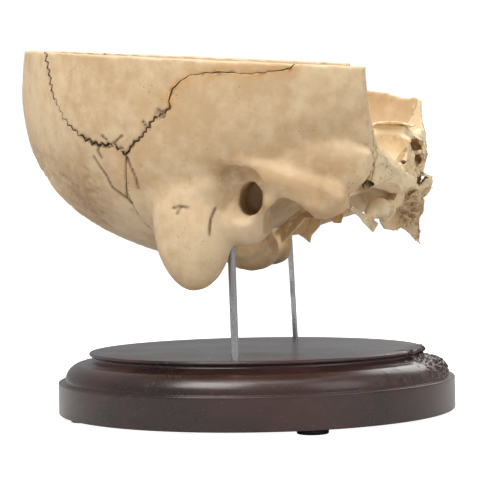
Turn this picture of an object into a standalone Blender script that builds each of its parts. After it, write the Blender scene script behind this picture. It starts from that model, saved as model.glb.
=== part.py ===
"""Lower part of a human skull, sawn level above the ears and broken off in front,
carried by two steel rods on a round dark wooden base with four feet.

The skull is built in its own frame, in millimetres: X forward, Y to its left, Z up, with the
origin midway between the two ear openings. It is then tipped into its pose above the base.
"""
import math

import bmesh
import bpy
from mathutils import Euler, Matrix, Vector

MM = 0.001
GAP = 0.3

# Braincase: a superellipsoid shell
CASE_CENTRE = (-10.0, 0.0, 40.0)
CASE_BACK = 83.9
CASE_FRONT = 85.0
CASE_HALF_WIDTH = 69.0
CASE_TOP = 72.0
CASE_DEPTH = 70.0
CASE_SQUARENESS = 2.8
FLOOR_RISE = 0.40
FLOOR_RISE_FROM = -30.0
FLOOR_RISE_TO = 32.0
VAULT_WALL = 5.5

# Saw cut across the vault: height on the midline above the ears, and its slopes
SAW_HEIGHT = 41.4
SAW_RISE_FORWARD = 0.0734
SAW_RISE_LEFT = 0.0816
SAW_MARGIN = 4.0
SAW_BLOCK = 0.4

# Broken front at five heights, from under the body up to the saw cut: how far forward the bone
# reaches at each distance from the midline
BREAK_Y = [-90.0, -56.0, -52.0, -47.0, -36.0, -26.0, -15.0, -4.0,
           6.0, 16.0, 24.0, 34.0, 44.0, 52.0, 90.0]
BREAK_ROWS = {
    -60.0: [35.5, 35.8, 37.0, 40.5, 42.5, 43.4, 46.0, 47.5, 51.5, 48.0, 42.5, 42.0, 41.5, 41.0, 41.0],
    9.0: [35.5, 35.8, 37.0, 40.5, 42.5, 43.4, 46.0, 47.5, 51.0, 48.0, 42.5, 42.0, 41.5, 41.0, 41.0],
    10.3: [35.2, 35.4, 36.4, 39.5, 42.0, 43.2, 46.0, 47.4, 49.5, 48.5, 47.4, 46.4, 46.0, 45.4, 45.0],
    15.5: [34.0, 34.3, 34.4, 35.0, 38.5, 41.0, 45.0, 46.5, 47.5, 47.0, 46.0, 45.6, 45.5, 45.3, 45.0],
    60.0: [24.6, 24.8, 25.2, 26.5, 31.0, 34.0, 36.0, 36.5, 38.0, 40.0, 39.0, 38.0, 37.5, 37.0, 38.0],
}
BREAK_REACH = 140.0

# Edge of the break in the left wall, as (x, z)
LEFT_BREAK = [(10.0, 75.0), (10.5, 44.0), (14.0, 39.0), (20.3, 37.8), (27.1, 37.6), (32.5, 36.4),
              (35.7, 36.5), (37.6, 37.3), (40.6, 35.8), (41.2, 31.5), (42.5, 26.8), (44.8, 21.4),
              (45.4, 9.8), (70.0, 8.0), (70.0, 75.0)]

LEFT_BREAK_INSIDE = 20.0
LEFT_BREAK_OUTSIDE = 90.0

# Sutures, drawn on the right side: the first two as (x, z) from the side, the others as (x, y)
PARIETAL_SUTURE = [(22.0, 52.0), (7.9, 34.7), (-3.9, 31.8), (-18.0, 30.4), (-26.0, 25.6), (-27.0, 20.0),
                   (-31.5, 15.2), (-36.0, 8.6), (-40.0, 3.0)]
LAMBDOID_SUTURE = [(-40.0, 3.0), (-44.6, 5.8), (-50.6, 4.9), (-57.0, 7.0), (-64.0, 11.5), (-70.0, 19.5),
                   (-76.0, 34.0), (-83.0, 52.0)]
MASTOID_SUTURE = [(-40.0, -80.0), (-40.0, -52.5)]
PETROUS_SUTURE = [(-40.0, -53.5), (-34.0, -45.0), (-22.0, -33.0), (-4.0, -28.5), (8.0, -19.0),
                  (20.0, -10.5)]
WING_SUTURE = [(20.0, -10.5), (24.0, -16.0), (21.0, -26.0), (25.0, -38.0), (30.0, -45.0)]
WING_END = [(30.0, -45.0), (33.0, -50.0), (54.0, -51.5)]
CLIVUS_SUTURE = [(20.0, -10.5), (20.0, 10.5)]
KERF_OVERRUN = 0.5
CAVITY_EDGE = 15.0
BEYOND_WALL = 85.0
BELOW_BASE = -50.0
CLIVUS_TOP = 32.0
MASTOID_SUTURE_TOP = 4.0
PETROUS_TOP = 14.0
WING_TOP = 33.0
WING_END_TOP = 60.0

# Middle of each bone, by which the parted pieces are told apart
BONE_CENTRES = {
    "occipital_bone": (-55.0, 0.0, -5.0),
    "temporal_bone_right": (-5.0, -48.0, 0.0),
    "temporal_bone_left": (-5.0, 48.0, 0.0),
    "parietal_bone_right": (-40.0, -58.0, 25.0),
    "parietal_bone_left": (-40.0, 58.0, 30.0),
    "sphenoid_bone": (36.0, 5.0, 8.0),
}

# Thin plates of bone left at the broken front
PLATE_THICKNESS = 1.7
FOLDS = 4
FOLD_ROOT = Vector((38.8, -5.0, -2.0))
FOLD_LENGTH = 5.2
FOLD_DEPTH = 2.6
FOLD_THICKNESS = 0.9
FOLD_LOWEST = -34.0
FOLD_SPREAD = 78.0

# Pose above the base
PITCH = math.radians(9.0)
ROLL = math.radians(2.0)
EARS_FROM_BASE_AXIS = (10.9, -5.2, 79.6)

# Meshing of the bone
VOXEL = 1.1
BROAD_SMOOTHING = 12
FINE_SMOOTHING = 3
BONE_FACES = 9500

# Stand
BASE_RADIUS = 68.3
BASE_UNDERSIDE = 1.9
BASE_TOP = 22.5
WALL_HEIGHT = 10.8
BASE_SIDES = 60
LEDGE_RADIUS = 66.0
BEAD = 0.6
ROUND_START = 60.0
BEAD_RADIUS = 57.7
ROD_SOCKET = 8.0
RODS = {
    "right": {"radius": 1.25, "foot": (2.4, -53.0), "head": (1.0, -50.0), "top": 64.0},
    "left": {"radius": 1.0, "foot": (8.5, 41.3), "head": (6.7, 40.0), "top": 65.0},
}
ROD_SIDES = 16
FOOT_SIDES = 24
FOOT_RADIUS = 5.0
FOOT_CIRCLE = 60.0
FOOT_ANGLES = [math.radians(a) for a in (-64.0, 26.0, 116.0, 206.0)]

COLOURS = {
    "bone": (0.72, 0.56, 0.36, 1.0),
    "wood": (0.028, 0.012, 0.010, 1.0),
    "steel": (0.55, 0.55, 0.56, 1.0),
    "rubber": (0.02, 0.02, 0.02, 1.0),
}

SIDES = {"right": -1.0, "left": 1.0}


def clear_scene():
    for item in list(bpy.data.objects):
        bpy.data.objects.remove(item, do_unlink=True)


def new_collection(name):
    collection = bpy.data.collections.new(name)
    bpy.context.scene.collection.children.link(collection)
    return collection


def material(name, colour, roughness, metallic=0.0):
    made = bpy.data.materials.new(name)
    made.use_nodes = True
    shader = made.node_tree.nodes["Principled BSDF"]
    shader.inputs["Base Color"].default_value = colour
    shader.inputs["Roughness"].default_value = roughness
    shader.inputs["Metallic"].default_value = metallic
    made.diffuse_color = colour
    return made


def object_from(bm, name, collection):
    mesh = bpy.data.meshes.new(name)
    bm.to_mesh(mesh)
    bm.free()
    made = bpy.data.objects.new(name, mesh)
    collection.objects.link(made)
    return made


def ball(centre, radii, turn=(0.0, 0.0, 0.0), name="ball"):
    """An ellipsoid, turned by degrees about X, Y and Z."""
    bm = bmesh.new()
    bmesh.ops.create_uvsphere(bm, u_segments=28, v_segments=16, radius=1.0)
    place(bm, centre, radii, turn)
    return object_from(bm, name, masses)


def block(centre, halves, turn=(0.0, 0.0, 0.0), name="block"):
    """A box given by its half sizes."""
    bm = bmesh.new()
    bmesh.ops.create_cube(bm, size=2.0)
    place(bm, centre, halves, turn)
    return object_from(bm, name, masses)


def drum(centre, halves, turn=(0.0, 0.0, 0.0), name="drum"):
    """An upright elliptical cylinder given by its half sizes."""
    bm = bmesh.new()
    bmesh.ops.create_cone(bm, cap_ends=True, segments=28, radius1=1.0, radius2=1.0, depth=2.0)
    place(bm, centre, halves, turn)
    return object_from(bm, name, masses)


def place(bm, centre, size, turn):
    angles = Euler([math.radians(a) for a in turn])
    matrix = Matrix.LocRotScale(Vector(centre) * MM, angles, Vector(size) * MM)
    bmesh.ops.transform(bm, matrix=matrix, verts=bm.verts)


def spindle(start, start_radius, end, end_radius):
    """A tapered rod with a ball at each end; returns its three pieces."""
    start = Vector(start)
    end = Vector(end)
    bm = bmesh.new()
    bmesh.ops.create_cone(bm, cap_ends=True, segments=20, radius1=start_radius * MM,
                          radius2=max(end_radius, 0.2) * MM, depth=(end - start).length * MM)
    turn = (end - start).to_track_quat("Z", "Y").to_matrix().to_4x4()
    matrix = Matrix.Translation((start + end) * 0.5 * MM) @ turn
    bmesh.ops.transform(bm, matrix=matrix, verts=bm.verts)
    pieces = [object_from(bm, "spindle", masses), ball(start, (start_radius,) * 3)]
    if end_radius > 1.0:
        pieces.append(ball(end, (end_radius,) * 3))
    return pieces


def hull(points):
    """The smallest rounded-out solid round some points."""
    bm = bmesh.new()
    verts = [bm.verts.new(Vector(point) * MM) for point in points]
    bmesh.ops.convex_hull(bm, input=verts)
    return object_from(bm, "hull", masses)


def plate(outline):
    """A thin plate of bone on an outline of points."""
    bm = bmesh.new()
    bm.faces.new([bm.verts.new(Vector(point) * MM) for point in outline])
    made = object_from(bm, "plate", masses)
    apply(made, "SOLIDIFY", thickness=PLATE_THICKNESS * MM, offset=0.0)
    return made


def layered(rows, name):
    """A closed solid through rows of points that match one another."""
    bm = bmesh.new()
    rings = [[bm.verts.new(Vector(point) * MM) for point in row] for row in rows]
    bm.faces.new(rings[0])
    bm.faces.new(rings[-1])
    for lower, upper in zip(rings, rings[1:]):
        for i in range(len(lower)):
            j = (i + 1) % len(lower)
            bm.faces.new((lower[i], lower[j], upper[j], upper[i]))
    bmesh.ops.recalc_face_normals(bm, faces=bm.faces)
    return object_from(bm, name, masses)


def smoothstep(low, high, value):
    t = min(1.0, max(0.0, (value - low) / (high - low)))
    return t * t * (3.0 - 2.0 * t)


def signed_power(value, power):
    return math.copysign(abs(value) ** power, value)


def braincase(name, wall):
    """The braincase's closed surface, set in by the wall's thickness."""
    bm = bmesh.new()
    bmesh.ops.create_uvsphere(bm, u_segments=96, v_segments=64, radius=1.0)
    power = 2.0 / CASE_SQUARENESS
    for vert in bm.verts:
        length = (CASE_BACK if vert.co.x < 0.0 else CASE_FRONT) - wall
        height = (CASE_TOP if vert.co.z > 0.0 else CASE_DEPTH) - wall
        ring = math.hypot(vert.co.x, vert.co.y)
        spread = ring ** power / max(ring, 1e-6)
        x = CASE_CENTRE[0] + length * vert.co.x * spread
        y = CASE_CENTRE[1] + (CASE_HALF_WIDTH - wall) * vert.co.y * spread
        drop = height * signed_power(vert.co.z, power)
        if drop < 0.0:
            drop *= 1.0 - FLOOR_RISE * smoothstep(FLOOR_RISE_FROM, FLOOR_RISE_TO, x)
        vert.co = Vector((x, y, CASE_CENTRE[2] + drop)) * MM
    return object_from(bm, name, masses)


def activate(item):
    bpy.ops.object.select_all(action="DESELECT")
    item.select_set(True)
    bpy.context.view_layer.objects.active = item


def join(pieces, name):
    activate(pieces[0])
    for piece in pieces:
        piece.select_set(True)
    bpy.ops.object.join()
    pieces[0].name = name
    return pieces[0]


def apply(item, kind, **settings):
    activate(item)
    modifier = item.modifiers.new(kind.lower(), kind)
    for key, value in settings.items():
        setattr(modifier, key, value)
    bpy.ops.object.modifier_apply(modifier=modifier.name)


def fuse(pieces, name, smoothing):
    """Melts overlapping masses into one closed, smoothed surface."""
    whole = join(pieces, name)
    apply(whole, "REMESH", mode="VOXEL", voxel_size=VOXEL * MM, adaptivity=0.0)
    apply(whole, "SMOOTH", factor=0.5, iterations=smoothing)
    return whole


def cut(item, cutter, solver="EXACT"):
    apply(item, "BOOLEAN", operation="DIFFERENCE", object=cutter, solver=solver)
    bpy.data.objects.remove(cutter, do_unlink=True)


def keep_largest(item):
    """Drops loose scraps, so that one closed surface stays."""
    bm = bmesh.new()
    bm.from_mesh(item.data)
    left = set(bm.verts)
    groups = []
    while left:
        stack = [left.pop()]
        group = list(stack)
        while stack:
            for edge in stack.pop().link_edges:
                for vert in edge.verts:
                    if vert in left:
                        left.remove(vert)
                        stack.append(vert)
                        group.append(vert)
        groups.append(group)
    groups.sort(key=len, reverse=True)
    for group in groups[1:]:
        bmesh.ops.delete(bm, geom=group, context="VERTS")
    bm.to_mesh(item.data)
    bm.free()


def temporal_masses(s):
    """Mastoid process, pyramid, ear region, root of the cheek arch and joint surface of one side."""
    pieces = [
        ball((-18.0, s * 52.0, -14.0), (12.9, 10.4, 22.5), (0.0, -9.0, 0.0)),
        ball((-22.0, s * 50.5, -3.0), (15.0, 10.0, 13.0)),
        ball((-2.0, s * 49.0, -11.5), (8.5, 11.5, 9.0)),
        ball((21.0, s * 53.0, -4.0), (6.5, 11.0, 4.8)),
        ball((18.0, s * 56.5, -1.5), (12.5, 7.0, 6.0), (0.0, 8.0, 0.0)),
        ball((12.0, s * 54.5, 8.0), (22.0, 7.2, 13.0)),
        ball((-10.0, s * 55.0, 8.0), (20.0, 7.2, 12.0)),
        ball((6.0, s * 56.5, -4.5), (2.6, 5.0, 4.2)),
    ]
    pieces += spindle((-14.0, s * 53.0, -2.0), 9.5, (21.0, s * 13.0, 1.0), 5.5)
    pieces += spindle((-2.0, s * 46.0, -13.5), 4.6, (-0.6, s * 44.0, -19.3), 1.6)
    crest = [(-20.0, s * 63.5, 13.0), (-12.0, s * 61.6, 7.0), (4.6, s * 59.5, 3.0),
             (27.0, s * 60.5, -0.8)]
    widths = [1.6, 3.6, 4.8, 3.4]
    for i in range(3):
        pieces += spindle(crest[i], widths[i], crest[i + 1], widths[i + 1])
    return pieces


def occipital_masses():
    """Condyles, the stem of bone in front of the great opening, and the ridges inside."""
    pieces = [ball((-79.5, 0.0, -1.0), (5.0, 14.0, 6.0)), ball((-80.0, 0.0, 8.0), (8.0, 12.0, 9.0)),
              block((-50.0, 0.0, -17.0), (16.0, 2.5, 6.0))]
    for s in SIDES.values():
        pieces.append(ball((-5.0, s * 18.5, -23.8), (10.5, 6.2, 6.6), (0.0, 0.0, s * -22.0)))
        pieces.append(ball((0.0, s * 15.5, -22.5), (4.8, 4.6, 6.2)))
        pieces.append(ball((-12.0, s * 24.0, -20.0), (14.0, 9.0, 6.0)))
        pieces += spindle((6.0, s * 6.0, -12.5), 4.6, (26.0, s * 6.0, -0.5), 6.4)
    return pieces


def sphenoid_masses():
    """Hollow body, back of the saddle, and the broken wings that reach to the side walls."""
    pieces = [
        block((33.0, 2.0, 8.5), (12.0, 12.0, 12.0), (0.0, 0.0, -12.0)),
        ball((42.5, 4.0, 12.0), (5.0, 12.0, 10.5)),
        block((24.0, 0.0, 22.0), (2.2, 8.0, 5.0)),
        block((34.5, 5.0, 23.2), (6.0, 14.0, 1.2)),
        ball((43.0, 34.0, 17.0), (4.5, 22.0, 8.5), (0.0, 0.0, -8.0)),
        ball((35.5, -34.0, 7.0), (4.0, 23.0, 6.5), (-6.0, 0.0, -20.0)),
        hull([(22.0, -58.0, -2.0), (22.0, -51.0, -1.0), (29.0, -57.0, -1.0), (35.8, -55.6, 8.0),
              (35.2, -56.2, 14.0), (24.0, -59.8, 14.0), (24.0, -52.0, 16.0), (35.0, -51.0, 14.0),
              (34.5, -51.0, 5.0)]),
        ball((43.5, 1.0, 0.0), (5.0, 6.0, 5.0)),
    ]
    for s in SIDES.values():
        pieces += spindle((35.0, s * 13.0, 0.0), 5.0, (38.0, s * 14.0, -6.0), 3.0)
    return pieces


def hollows():
    """Natural openings and hollows of the underside and the sides."""
    cutters = [drum((-13.0, 0.0, -24.0), (17.5, 14.5, 16.0)), ball((30.0, 0.0, 25.5), (4.5, 6.5, 4.5)),
               ball((35.0, -13.0, 16.4), (8.0, 5.0, 6.6), (0.0, 14.0, 0.0))]
    for s in SIDES.values():
        cutters.append(drum((0.0, s * 58.0, -5.0), (3.6, 5.2, 14.0), (90.0, 0.0, 0.0)))
        cutters.append(ball((-4.0, s * 63.5, -0.5), (7.5, 4.0, 4.6), (0.0, -12.0, 0.0)))
        cutters.append(ball((-1.5, s * 62.5, -6.5), (6.5, 5.0, 7.5)))
        cutters.append(ball((12.5, s * 54.0, -12.0), (8.0, 12.0, 10.2)))
        cutters.append(ball((-20.0, s * 39.0, -29.0), (16.0, 4.5, 12.0), (0.0, 0.0, s * -12.0)))
        cutters.append(ball((-4.0, s * 28.0, -14.0), (5.5, 4.5, 14.0)))
        cutters.append(ball((24.0, s * 24.0, 2.0), (3.5, 2.5, 16.0)))
    cutters.append(ball((36.8, -33.0, -1.6), (5.6, 16.0, 7.0), (0.0, 0.0, -22.0)))
    return cutters


def air_cells():
    """Small cells that the break laid open, and the gap between two splinters."""
    return [ball((43.4, -2.0, 18.4), (3.1, 7.0, 2.1), (0.0, 28.0, 0.0)),
            ball((45.4, -2.0, 14.2), (1.2, 5.0, 2.4), (0.0, -14.0, 0.0)),
            ball((41.2, -9.0, 12.1), (0.7, 4.0, 0.6)),
            block((47.0, 4.0, 7.4), (1.1, 14.0, 1.9), (0.0, 38.0, 3.0))]


def splinters():
    """Thin plates and spikes left standing at the broken front."""
    pieces = [
        plate([(27.6, -57.4, -1.5), (29.6, -57.2, -0.6), (34.2, -52.0, 2.1), (37.4, -46.0, 4.4),
               (39.6, -38.0, 6.4), (42.0, -27.0, 7.0), (43.3, -20.0, 6.3), (40.0, -18.0, 9.0),
               (38.6, -34.0, 9.6), (33.0, -51.0, 6.0)]),
        plate([(34.2, -51.5, 5.0), (34.4, -52.0, 12.0), (33.8, -50.5, 17.0), (35.6, -49.5, 16.0),
               (37.2, -48.0, 13.9), (38.4, -46.0, 12.9), (39.9, -42.0, 11.2), (40.4, -37.0, 9.2),
               (39.2, -38.0, 6.6), (36.5, -47.0, 4.0)]),
        plate([(43.3, -20.5, 6.4), (42.2, -20.5, 3.6), (41.3, -20.0, 0.9), (40.6, -19.5, -2.8),
               (38.5, -18.0, -1.9), (37.0, -14.0, -1.5), (36.0, -12.0, 3.0), (38.0, -12.0, 8.0)]),
        plate([(26.8, -52.0, -3.0), (31.0, -36.0, -7.0), (35.2, -21.0, -12.0), (36.4, -19.0, -8.6),
               (33.0, -27.0, -6.4), (28.0, -48.0, -2.4)]),
        plate([(36.0, -11.5, 7.5), (37.4, -11.5, 11.3), (40.6, -10.5, 18.0), (42.0, -9.0, 17.6),
               (44.3, -7.0, 13.9), (45.8, -5.0, 10.4), (46.0, -4.0, 6.5), (38.5, -10.0, 4.0)]),
        plate([(46.6, 10.0, 6.0), (47.7, 8.0, 9.4), (49.4, 8.0, 9.3), (50.9, 8.0, 4.6), (49.3, 7.0, 1.4),
               (45.5, 6.0, -2.5)]),
        plate([(38.0, 3.0, -4.0), (38.6, 3.0, -9.3), (41.2, 3.0, -11.6), (42.1, 3.0, -10.2),
               (44.5, 3.0, -11.3), (45.8, 4.0, -12.5), (47.2, 4.0, -13.9), (49.6, 5.0, -14.9),
               (49.2, 4.0, -10.5), (48.4, 4.0, -6.4), (49.5, 4.0, -3.8), (49.3, 4.0, 1.2),
               (44.0, 3.0, 2.0)]),
        plate([(35.4, -8.0, -8.4), (37.3, -7.0, -10.9), (41.0, -6.0, -11.2), (43.4, -4.0, -8.6),
               (43.0, -4.0, -4.0), (36.0, -8.0, -3.0)]),
        plate([(8.5, -16.0, -15.5), (11.9, -15.0, -17.0), (14.4, -15.0, -18.6), (14.8, -15.0, -15.8),
               (17.3, -15.0, -12.3), (14.0, -14.0, -8.0), (8.0, -14.0, -10.0)]),
        plate([(17.0, -15.0, -11.0), (20.4, -15.0, -9.9), (21.0, -15.0, -10.9), (23.9, -15.0, -10.5),
               (24.3, -15.0, -8.2), (25.6, -15.0, -6.8), (24.0, -13.0, -2.0), (16.0, -13.0, -5.0)]),
        plate([(29.0, -55.0, -4.4), (26.2, -54.0, -4.8), (22.9, -53.0, -6.7), (19.1, -51.0, -8.9),
               (17.3, -49.0, -8.7), (15.6, -45.0, -9.3), (14.5, -43.0, -12.0), (12.0, -41.0, -14.7),
               (9.6, -39.0, -17.3), (8.3, -37.0, -18.8), (6.5, -34.0, -14.0), (12.0, -38.0, -8.0),
               (18.0, -46.0, -3.0), (28.0, -52.0, 0.0)]),
        plate([(28.4, -9.0, 22.4), (31.0, -11.5, 24.0), (35.0, -11.8, 24.9), (38.0, -11.0, 25.0),
               (40.6, -9.0, 24.4), (42.0, 2.0, 24.6), (42.0, 14.0, 25.6), (28.0, 14.0, 22.6)]),
        ball((36.4, -25.0, -3.6), (4.4, 4.0, 3.6)), ball((39.6, -22.0, -3.4), (2.4, 3.2, 3.2)),
        ball((34.4, -27.0, -5.0), (2.6, 3.0, 2.6)),
    ]
    return pieces + grooved_folds()


def grooved_folds():
    """Leaves of bone that fan out from one root in the middle of the break."""
    folds = []
    for i in range(FOLDS):
        lean = FOLD_LOWEST + FOLD_SPREAD * i / (FOLDS - 1)
        along = Vector((math.cos(math.radians(lean)), 0.0, math.sin(math.radians(lean))))
        middle = FOLD_ROOT + along * FOLD_LENGTH
        folds.append(ball(middle, (FOLD_LENGTH, FOLD_DEPTH, FOLD_THICKNESS), (0.0, -lean, 0.0)))
    return folds


def saw_block(above=0.0):
    """Everything above the saw cut, or above a plane parallel to it."""
    slope = Vector((-SAW_RISE_FORWARD, -SAW_RISE_LEFT, 1.0)).normalized()
    turn = slope.to_track_quat("Z", "Y").to_matrix().to_4x4()
    bm = bmesh.new()
    bmesh.ops.create_cube(bm, size=SAW_BLOCK)
    centre = Vector((0.0, 0.0, (SAW_HEIGHT + above) * MM)) + slope * SAW_BLOCK / 2
    bmesh.ops.transform(bm, matrix=Matrix.Translation(centre) @ turn, verts=bm.verts)
    return object_from(bm, "saw_block", masses)


def break_block():
    """Everything in front of the broken edge, which leans forward toward the base."""
    rows = []
    for z, front in BREAK_ROWS.items():
        row = [(x, y, z) for x, y in zip(front, BREAK_Y)]
        rows.append(row + [(BREAK_REACH, BREAK_Y[-1], z), (BREAK_REACH, BREAK_Y[0], z)])
    return layered(rows, "break_block")


def left_break_block():
    """The piece broken out of the left wall in front of the ear, below the saw cut."""
    sides = (LEFT_BREAK_INSIDE, LEFT_BREAK_OUTSIDE)
    return layered([[(x, y, z) for x, z in LEFT_BREAK] for y in sides], "left_break_block")


def kerf(route, axis, low, high):
    """A thin ribbon along a route: a slit that parts two bones.

    The route is in XZ and the ribbon runs along Y for axis Y, or in XY and along Z for axis Z.
    Both ends run on a little, so that slits that meet do cross.
    """
    points = [Vector(point) for point in route]
    points[0] += (points[0] - points[1]).normalized() * KERF_OVERRUN
    points[-1] += (points[-1] - points[-2]).normalized() * KERF_OVERRUN
    bm = bmesh.new()
    rows = []
    for a, b in points:
        if axis == "Y":
            ends = (Vector((a, low, b)), Vector((a, high, b)))
        else:
            ends = (Vector((a, b, low)), Vector((a, b, high)))
        rows.append([bm.verts.new(end * MM) for end in ends])
    for first, second in zip(rows, rows[1:]):
        bm.faces.new((first[0], second[0], second[1], first[1]))
    ribbon = object_from(bm, "kerf", masses)
    apply(ribbon, "SOLIDIFY", thickness=GAP * MM, offset=0.0, use_even_offset=True)
    return ribbon


def mirrored(route, s):
    """The same route on the other side; the routes are drawn on the right."""
    return [(x, -s * y) for x, y in route]


def suture_kerfs():
    """The slits between the bones, on both sides."""
    flat_routes = ((MASTOID_SUTURE, MASTOID_SUTURE_TOP), (PETROUS_SUTURE, PETROUS_TOP),
                   (WING_SUTURE, WING_TOP), (WING_END, WING_END_TOP))
    kerfs = [kerf(CLIVUS_SUTURE, "Z", BELOW_BASE, CLIVUS_TOP)]
    for s in SIDES.values():
        near, far = sorted((s * CAVITY_EDGE, s * BEYOND_WALL))
        kerfs.append(kerf(PARIETAL_SUTURE, "Y", near, far))
        kerfs.append(kerf(LAMBDOID_SUTURE, "Y", near, far))
        for route, top in flat_routes:
            kerfs.append(kerf(mirrored(route, s), "Z", BELOW_BASE, top))
    return kerfs


def triangles(item):
    return sum(len(face.vertices) - 2 for face in item.data.polygons)


def loose_parts(item):
    activate(item)
    bpy.ops.mesh.separate(type="LOOSE")
    return list(bpy.context.selected_objects)


def middle(item):
    corners = [Vector(corner) for corner in item.bound_box]
    return sum(corners, Vector()) / len(corners)


def part_bones(whole):
    """Parts the bone along its sutures and names each part by where it lies."""
    for cutter in suture_kerfs():
        cut(whole, cutter, "MANIFOLD")
    parts = sorted(loose_parts(whole), key=lambda part: len(part.data.vertices), reverse=True)
    parts, scraps = parts[:len(BONE_CENTRES)], parts[len(BONE_CENTRES):]
    for scrap in scraps:
        bpy.data.objects.remove(scrap, do_unlink=True)
    for name, centre in BONE_CENTRES.items():
        nearest = min(parts, key=lambda part: (middle(part) - Vector(centre) * MM).length)
        parts.remove(nearest)
        nearest.name = name
        nearest.data.name = name
        yield nearest


def whole_bone():
    """The whole bone, with its hollows, the broken front and the saw cut."""
    bowl = braincase("bowl", 0.0)
    cut(bowl, braincase("inner", VAULT_WALL), "MANIFOLD")
    cut(bowl, saw_block(SAW_MARGIN), "MANIFOLD")
    pieces = [bowl] + occipital_masses() + sphenoid_masses()
    for s in SIDES.values():
        pieces += temporal_masses(s)
    whole = fuse(pieces, "whole", BROAD_SMOOTHING)
    for cutter in hollows() + [break_block(), left_break_block()] + air_cells():
        cut(whole, cutter, "MANIFOLD")
    whole = fuse([whole] + splinters(), "whole", FINE_SMOOTHING)
    apply(whole, "DECIMATE", ratio=BONE_FACES / triangles(whole))
    cut(whole, saw_block(), "MANIFOLD")
    keep_largest(whole)
    return whole


def arc(centre, radius, start, end, steps):
    """Points (radius, height) of an arc in a turned profile, by degrees from +X."""
    points = []
    for i in range(steps + 1):
        angle = math.radians(start + (end - start) * i / steps)
        points.append((centre[0] + radius * math.cos(angle), centre[1] + radius * math.sin(angle)))
    return points


def base_profile():
    """Top bead, small cove, quarter round, ledge and upright wall, from the top down."""
    wall_top = BASE_UNDERSIDE + WALL_HEIGHT
    outline = [(0.0, BASE_TOP)]
    outline += arc((BEAD_RADIUS - BEAD, BASE_TOP - BEAD), BEAD, 90.0, -60.0, 3)
    outline += [(BEAD_RADIUS - 1.1, BASE_TOP - 1.6), (BEAD_RADIUS - 0.4, BASE_TOP - 2.6)]
    outline += arc((ROUND_START, wall_top + 0.2), LEDGE_RADIUS - ROUND_START, 90.0, 0.0, 5)
    outline += [(LEDGE_RADIUS, wall_top)]
    outline += arc((BASE_RADIUS - 0.5, wall_top - 0.5), 0.5, 90.0, 0.0, 1)
    outline += arc((BASE_RADIUS - 0.4, BASE_UNDERSIDE + 0.4), 0.4, 0.0, -90.0, 1)
    outline += [(0.0, BASE_UNDERSIDE)]
    return outline


def turned(outline, name, collection, steps):
    """A closed turned solid from a profile that runs down its outer side."""
    bm = bmesh.new()
    verts = [bm.verts.new(Vector((radius, 0.0, height)) * MM) for radius, height in outline]
    for upper, lower in zip(verts, verts[1:]):
        bm.edges.new((upper, lower))
    made = object_from(bm, name, collection)
    apply(made, "SCREW", angle=math.tau, steps=steps, render_steps=steps, use_merge_vertices=True,
          merge_threshold=0.00001, use_smooth_shade=True)
    return made


def rod(name, foot, head, radius, sides, collection):
    """A straight round rod between two points."""
    foot = Vector(foot)
    head = Vector(head)
    bm = bmesh.new()
    bmesh.ops.create_cone(bm, cap_ends=True, segments=sides, radius1=radius * MM, radius2=radius * MM,
                          depth=(head - foot).length * MM)
    turn = (head - foot).to_track_quat("Z", "Y").to_matrix().to_4x4()
    bmesh.ops.transform(bm, matrix=Matrix.Translation((foot + head) * 0.5 * MM) @ turn, verts=bm.verts)
    return object_from(bm, name, collection)


def build_stand(model, axis):
    """Turned base, rods set in blind holes of the base, and four feet."""
    base = turned(base_profile(), "stand_base", model, BASE_SIDES)
    base.data.materials.append(material("lacquered_wood", COLOURS["wood"], 0.25))
    steel = material("steel", COLOURS["steel"], 0.3, 1.0)
    for side, spec in RODS.items():
        foot = Vector((*spec["foot"], BASE_TOP - ROD_SOCKET + GAP))
        head = Vector((*spec["head"], spec["top"]))
        made = rod("stand_rod_" + side, foot, head, spec["radius"], ROD_SIDES, model)
        made.data.materials.append(steel)
        made.parent = axis
        along = (head - foot).normalized()
        hole = rod("rod_hole", foot - along * GAP, head, spec["radius"] + GAP, ROD_SIDES, masses)
        cut(base, hole)
    base.parent = axis
    rubber = material("rubber", COLOURS["rubber"], 0.8)
    for i, angle in enumerate(FOOT_ANGLES):
        height = BASE_UNDERSIDE - GAP
        spot = Vector((FOOT_CIRCLE * math.cos(angle), FOOT_CIRCLE * math.sin(angle), 0.0))
        top = spot + Vector((0.0, 0.0, height))
        made = rod("stand_foot_%d" % (i + 1), spot, top, FOOT_RADIUS, FOOT_SIDES, model)
        made.data.materials.append(rubber)
        made.parent = axis


def drill_rod_sockets(parts):
    """Blind holes under the temporal bones, which take the heads of the rods."""
    bpy.context.view_layer.update()
    for side, spec in RODS.items():
        foot = Vector((*spec["foot"], BASE_TOP))
        head = Vector((*spec["head"], spec["top"]))
        end = head + (head - foot).normalized() * GAP
        hole = rod("rod_socket", foot, end, spec["radius"] + GAP, ROD_SIDES, masses)
        cut(parts["temporal_bone_" + side], hole, "MANIFOLD")
        keep_largest(parts["temporal_bone_" + side])


def centre_on_origin(axis, items):
    """Moves the model so that the middle of its box stands over the origin."""
    bpy.context.view_layer.update()
    points = [item.matrix_world @ vert.co for item in items for vert in item.data.vertices]
    for i in range(2):
        low = min(point[i] for point in points)
        high = max(point[i] for point in points)
        axis.location[i] -= 0.5 * (low + high)


clear_scene()
masses = new_collection("masses")
model = new_collection("partial_human_skull")
stand_axis = bpy.data.objects.new("stand_axis", None)
model.objects.link(stand_axis)
skull_pose = bpy.data.objects.new("skull_pose", None)
model.objects.link(skull_pose)
skull_pose.parent = stand_axis
tip = Matrix.Rotation(PITCH, 4, "Y") @ Matrix.Rotation(ROLL, 4, "X")
skull_pose.matrix_local = Matrix.Translation(Vector(EARS_FROM_BASE_AXIS) * MM) @ tip

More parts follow.
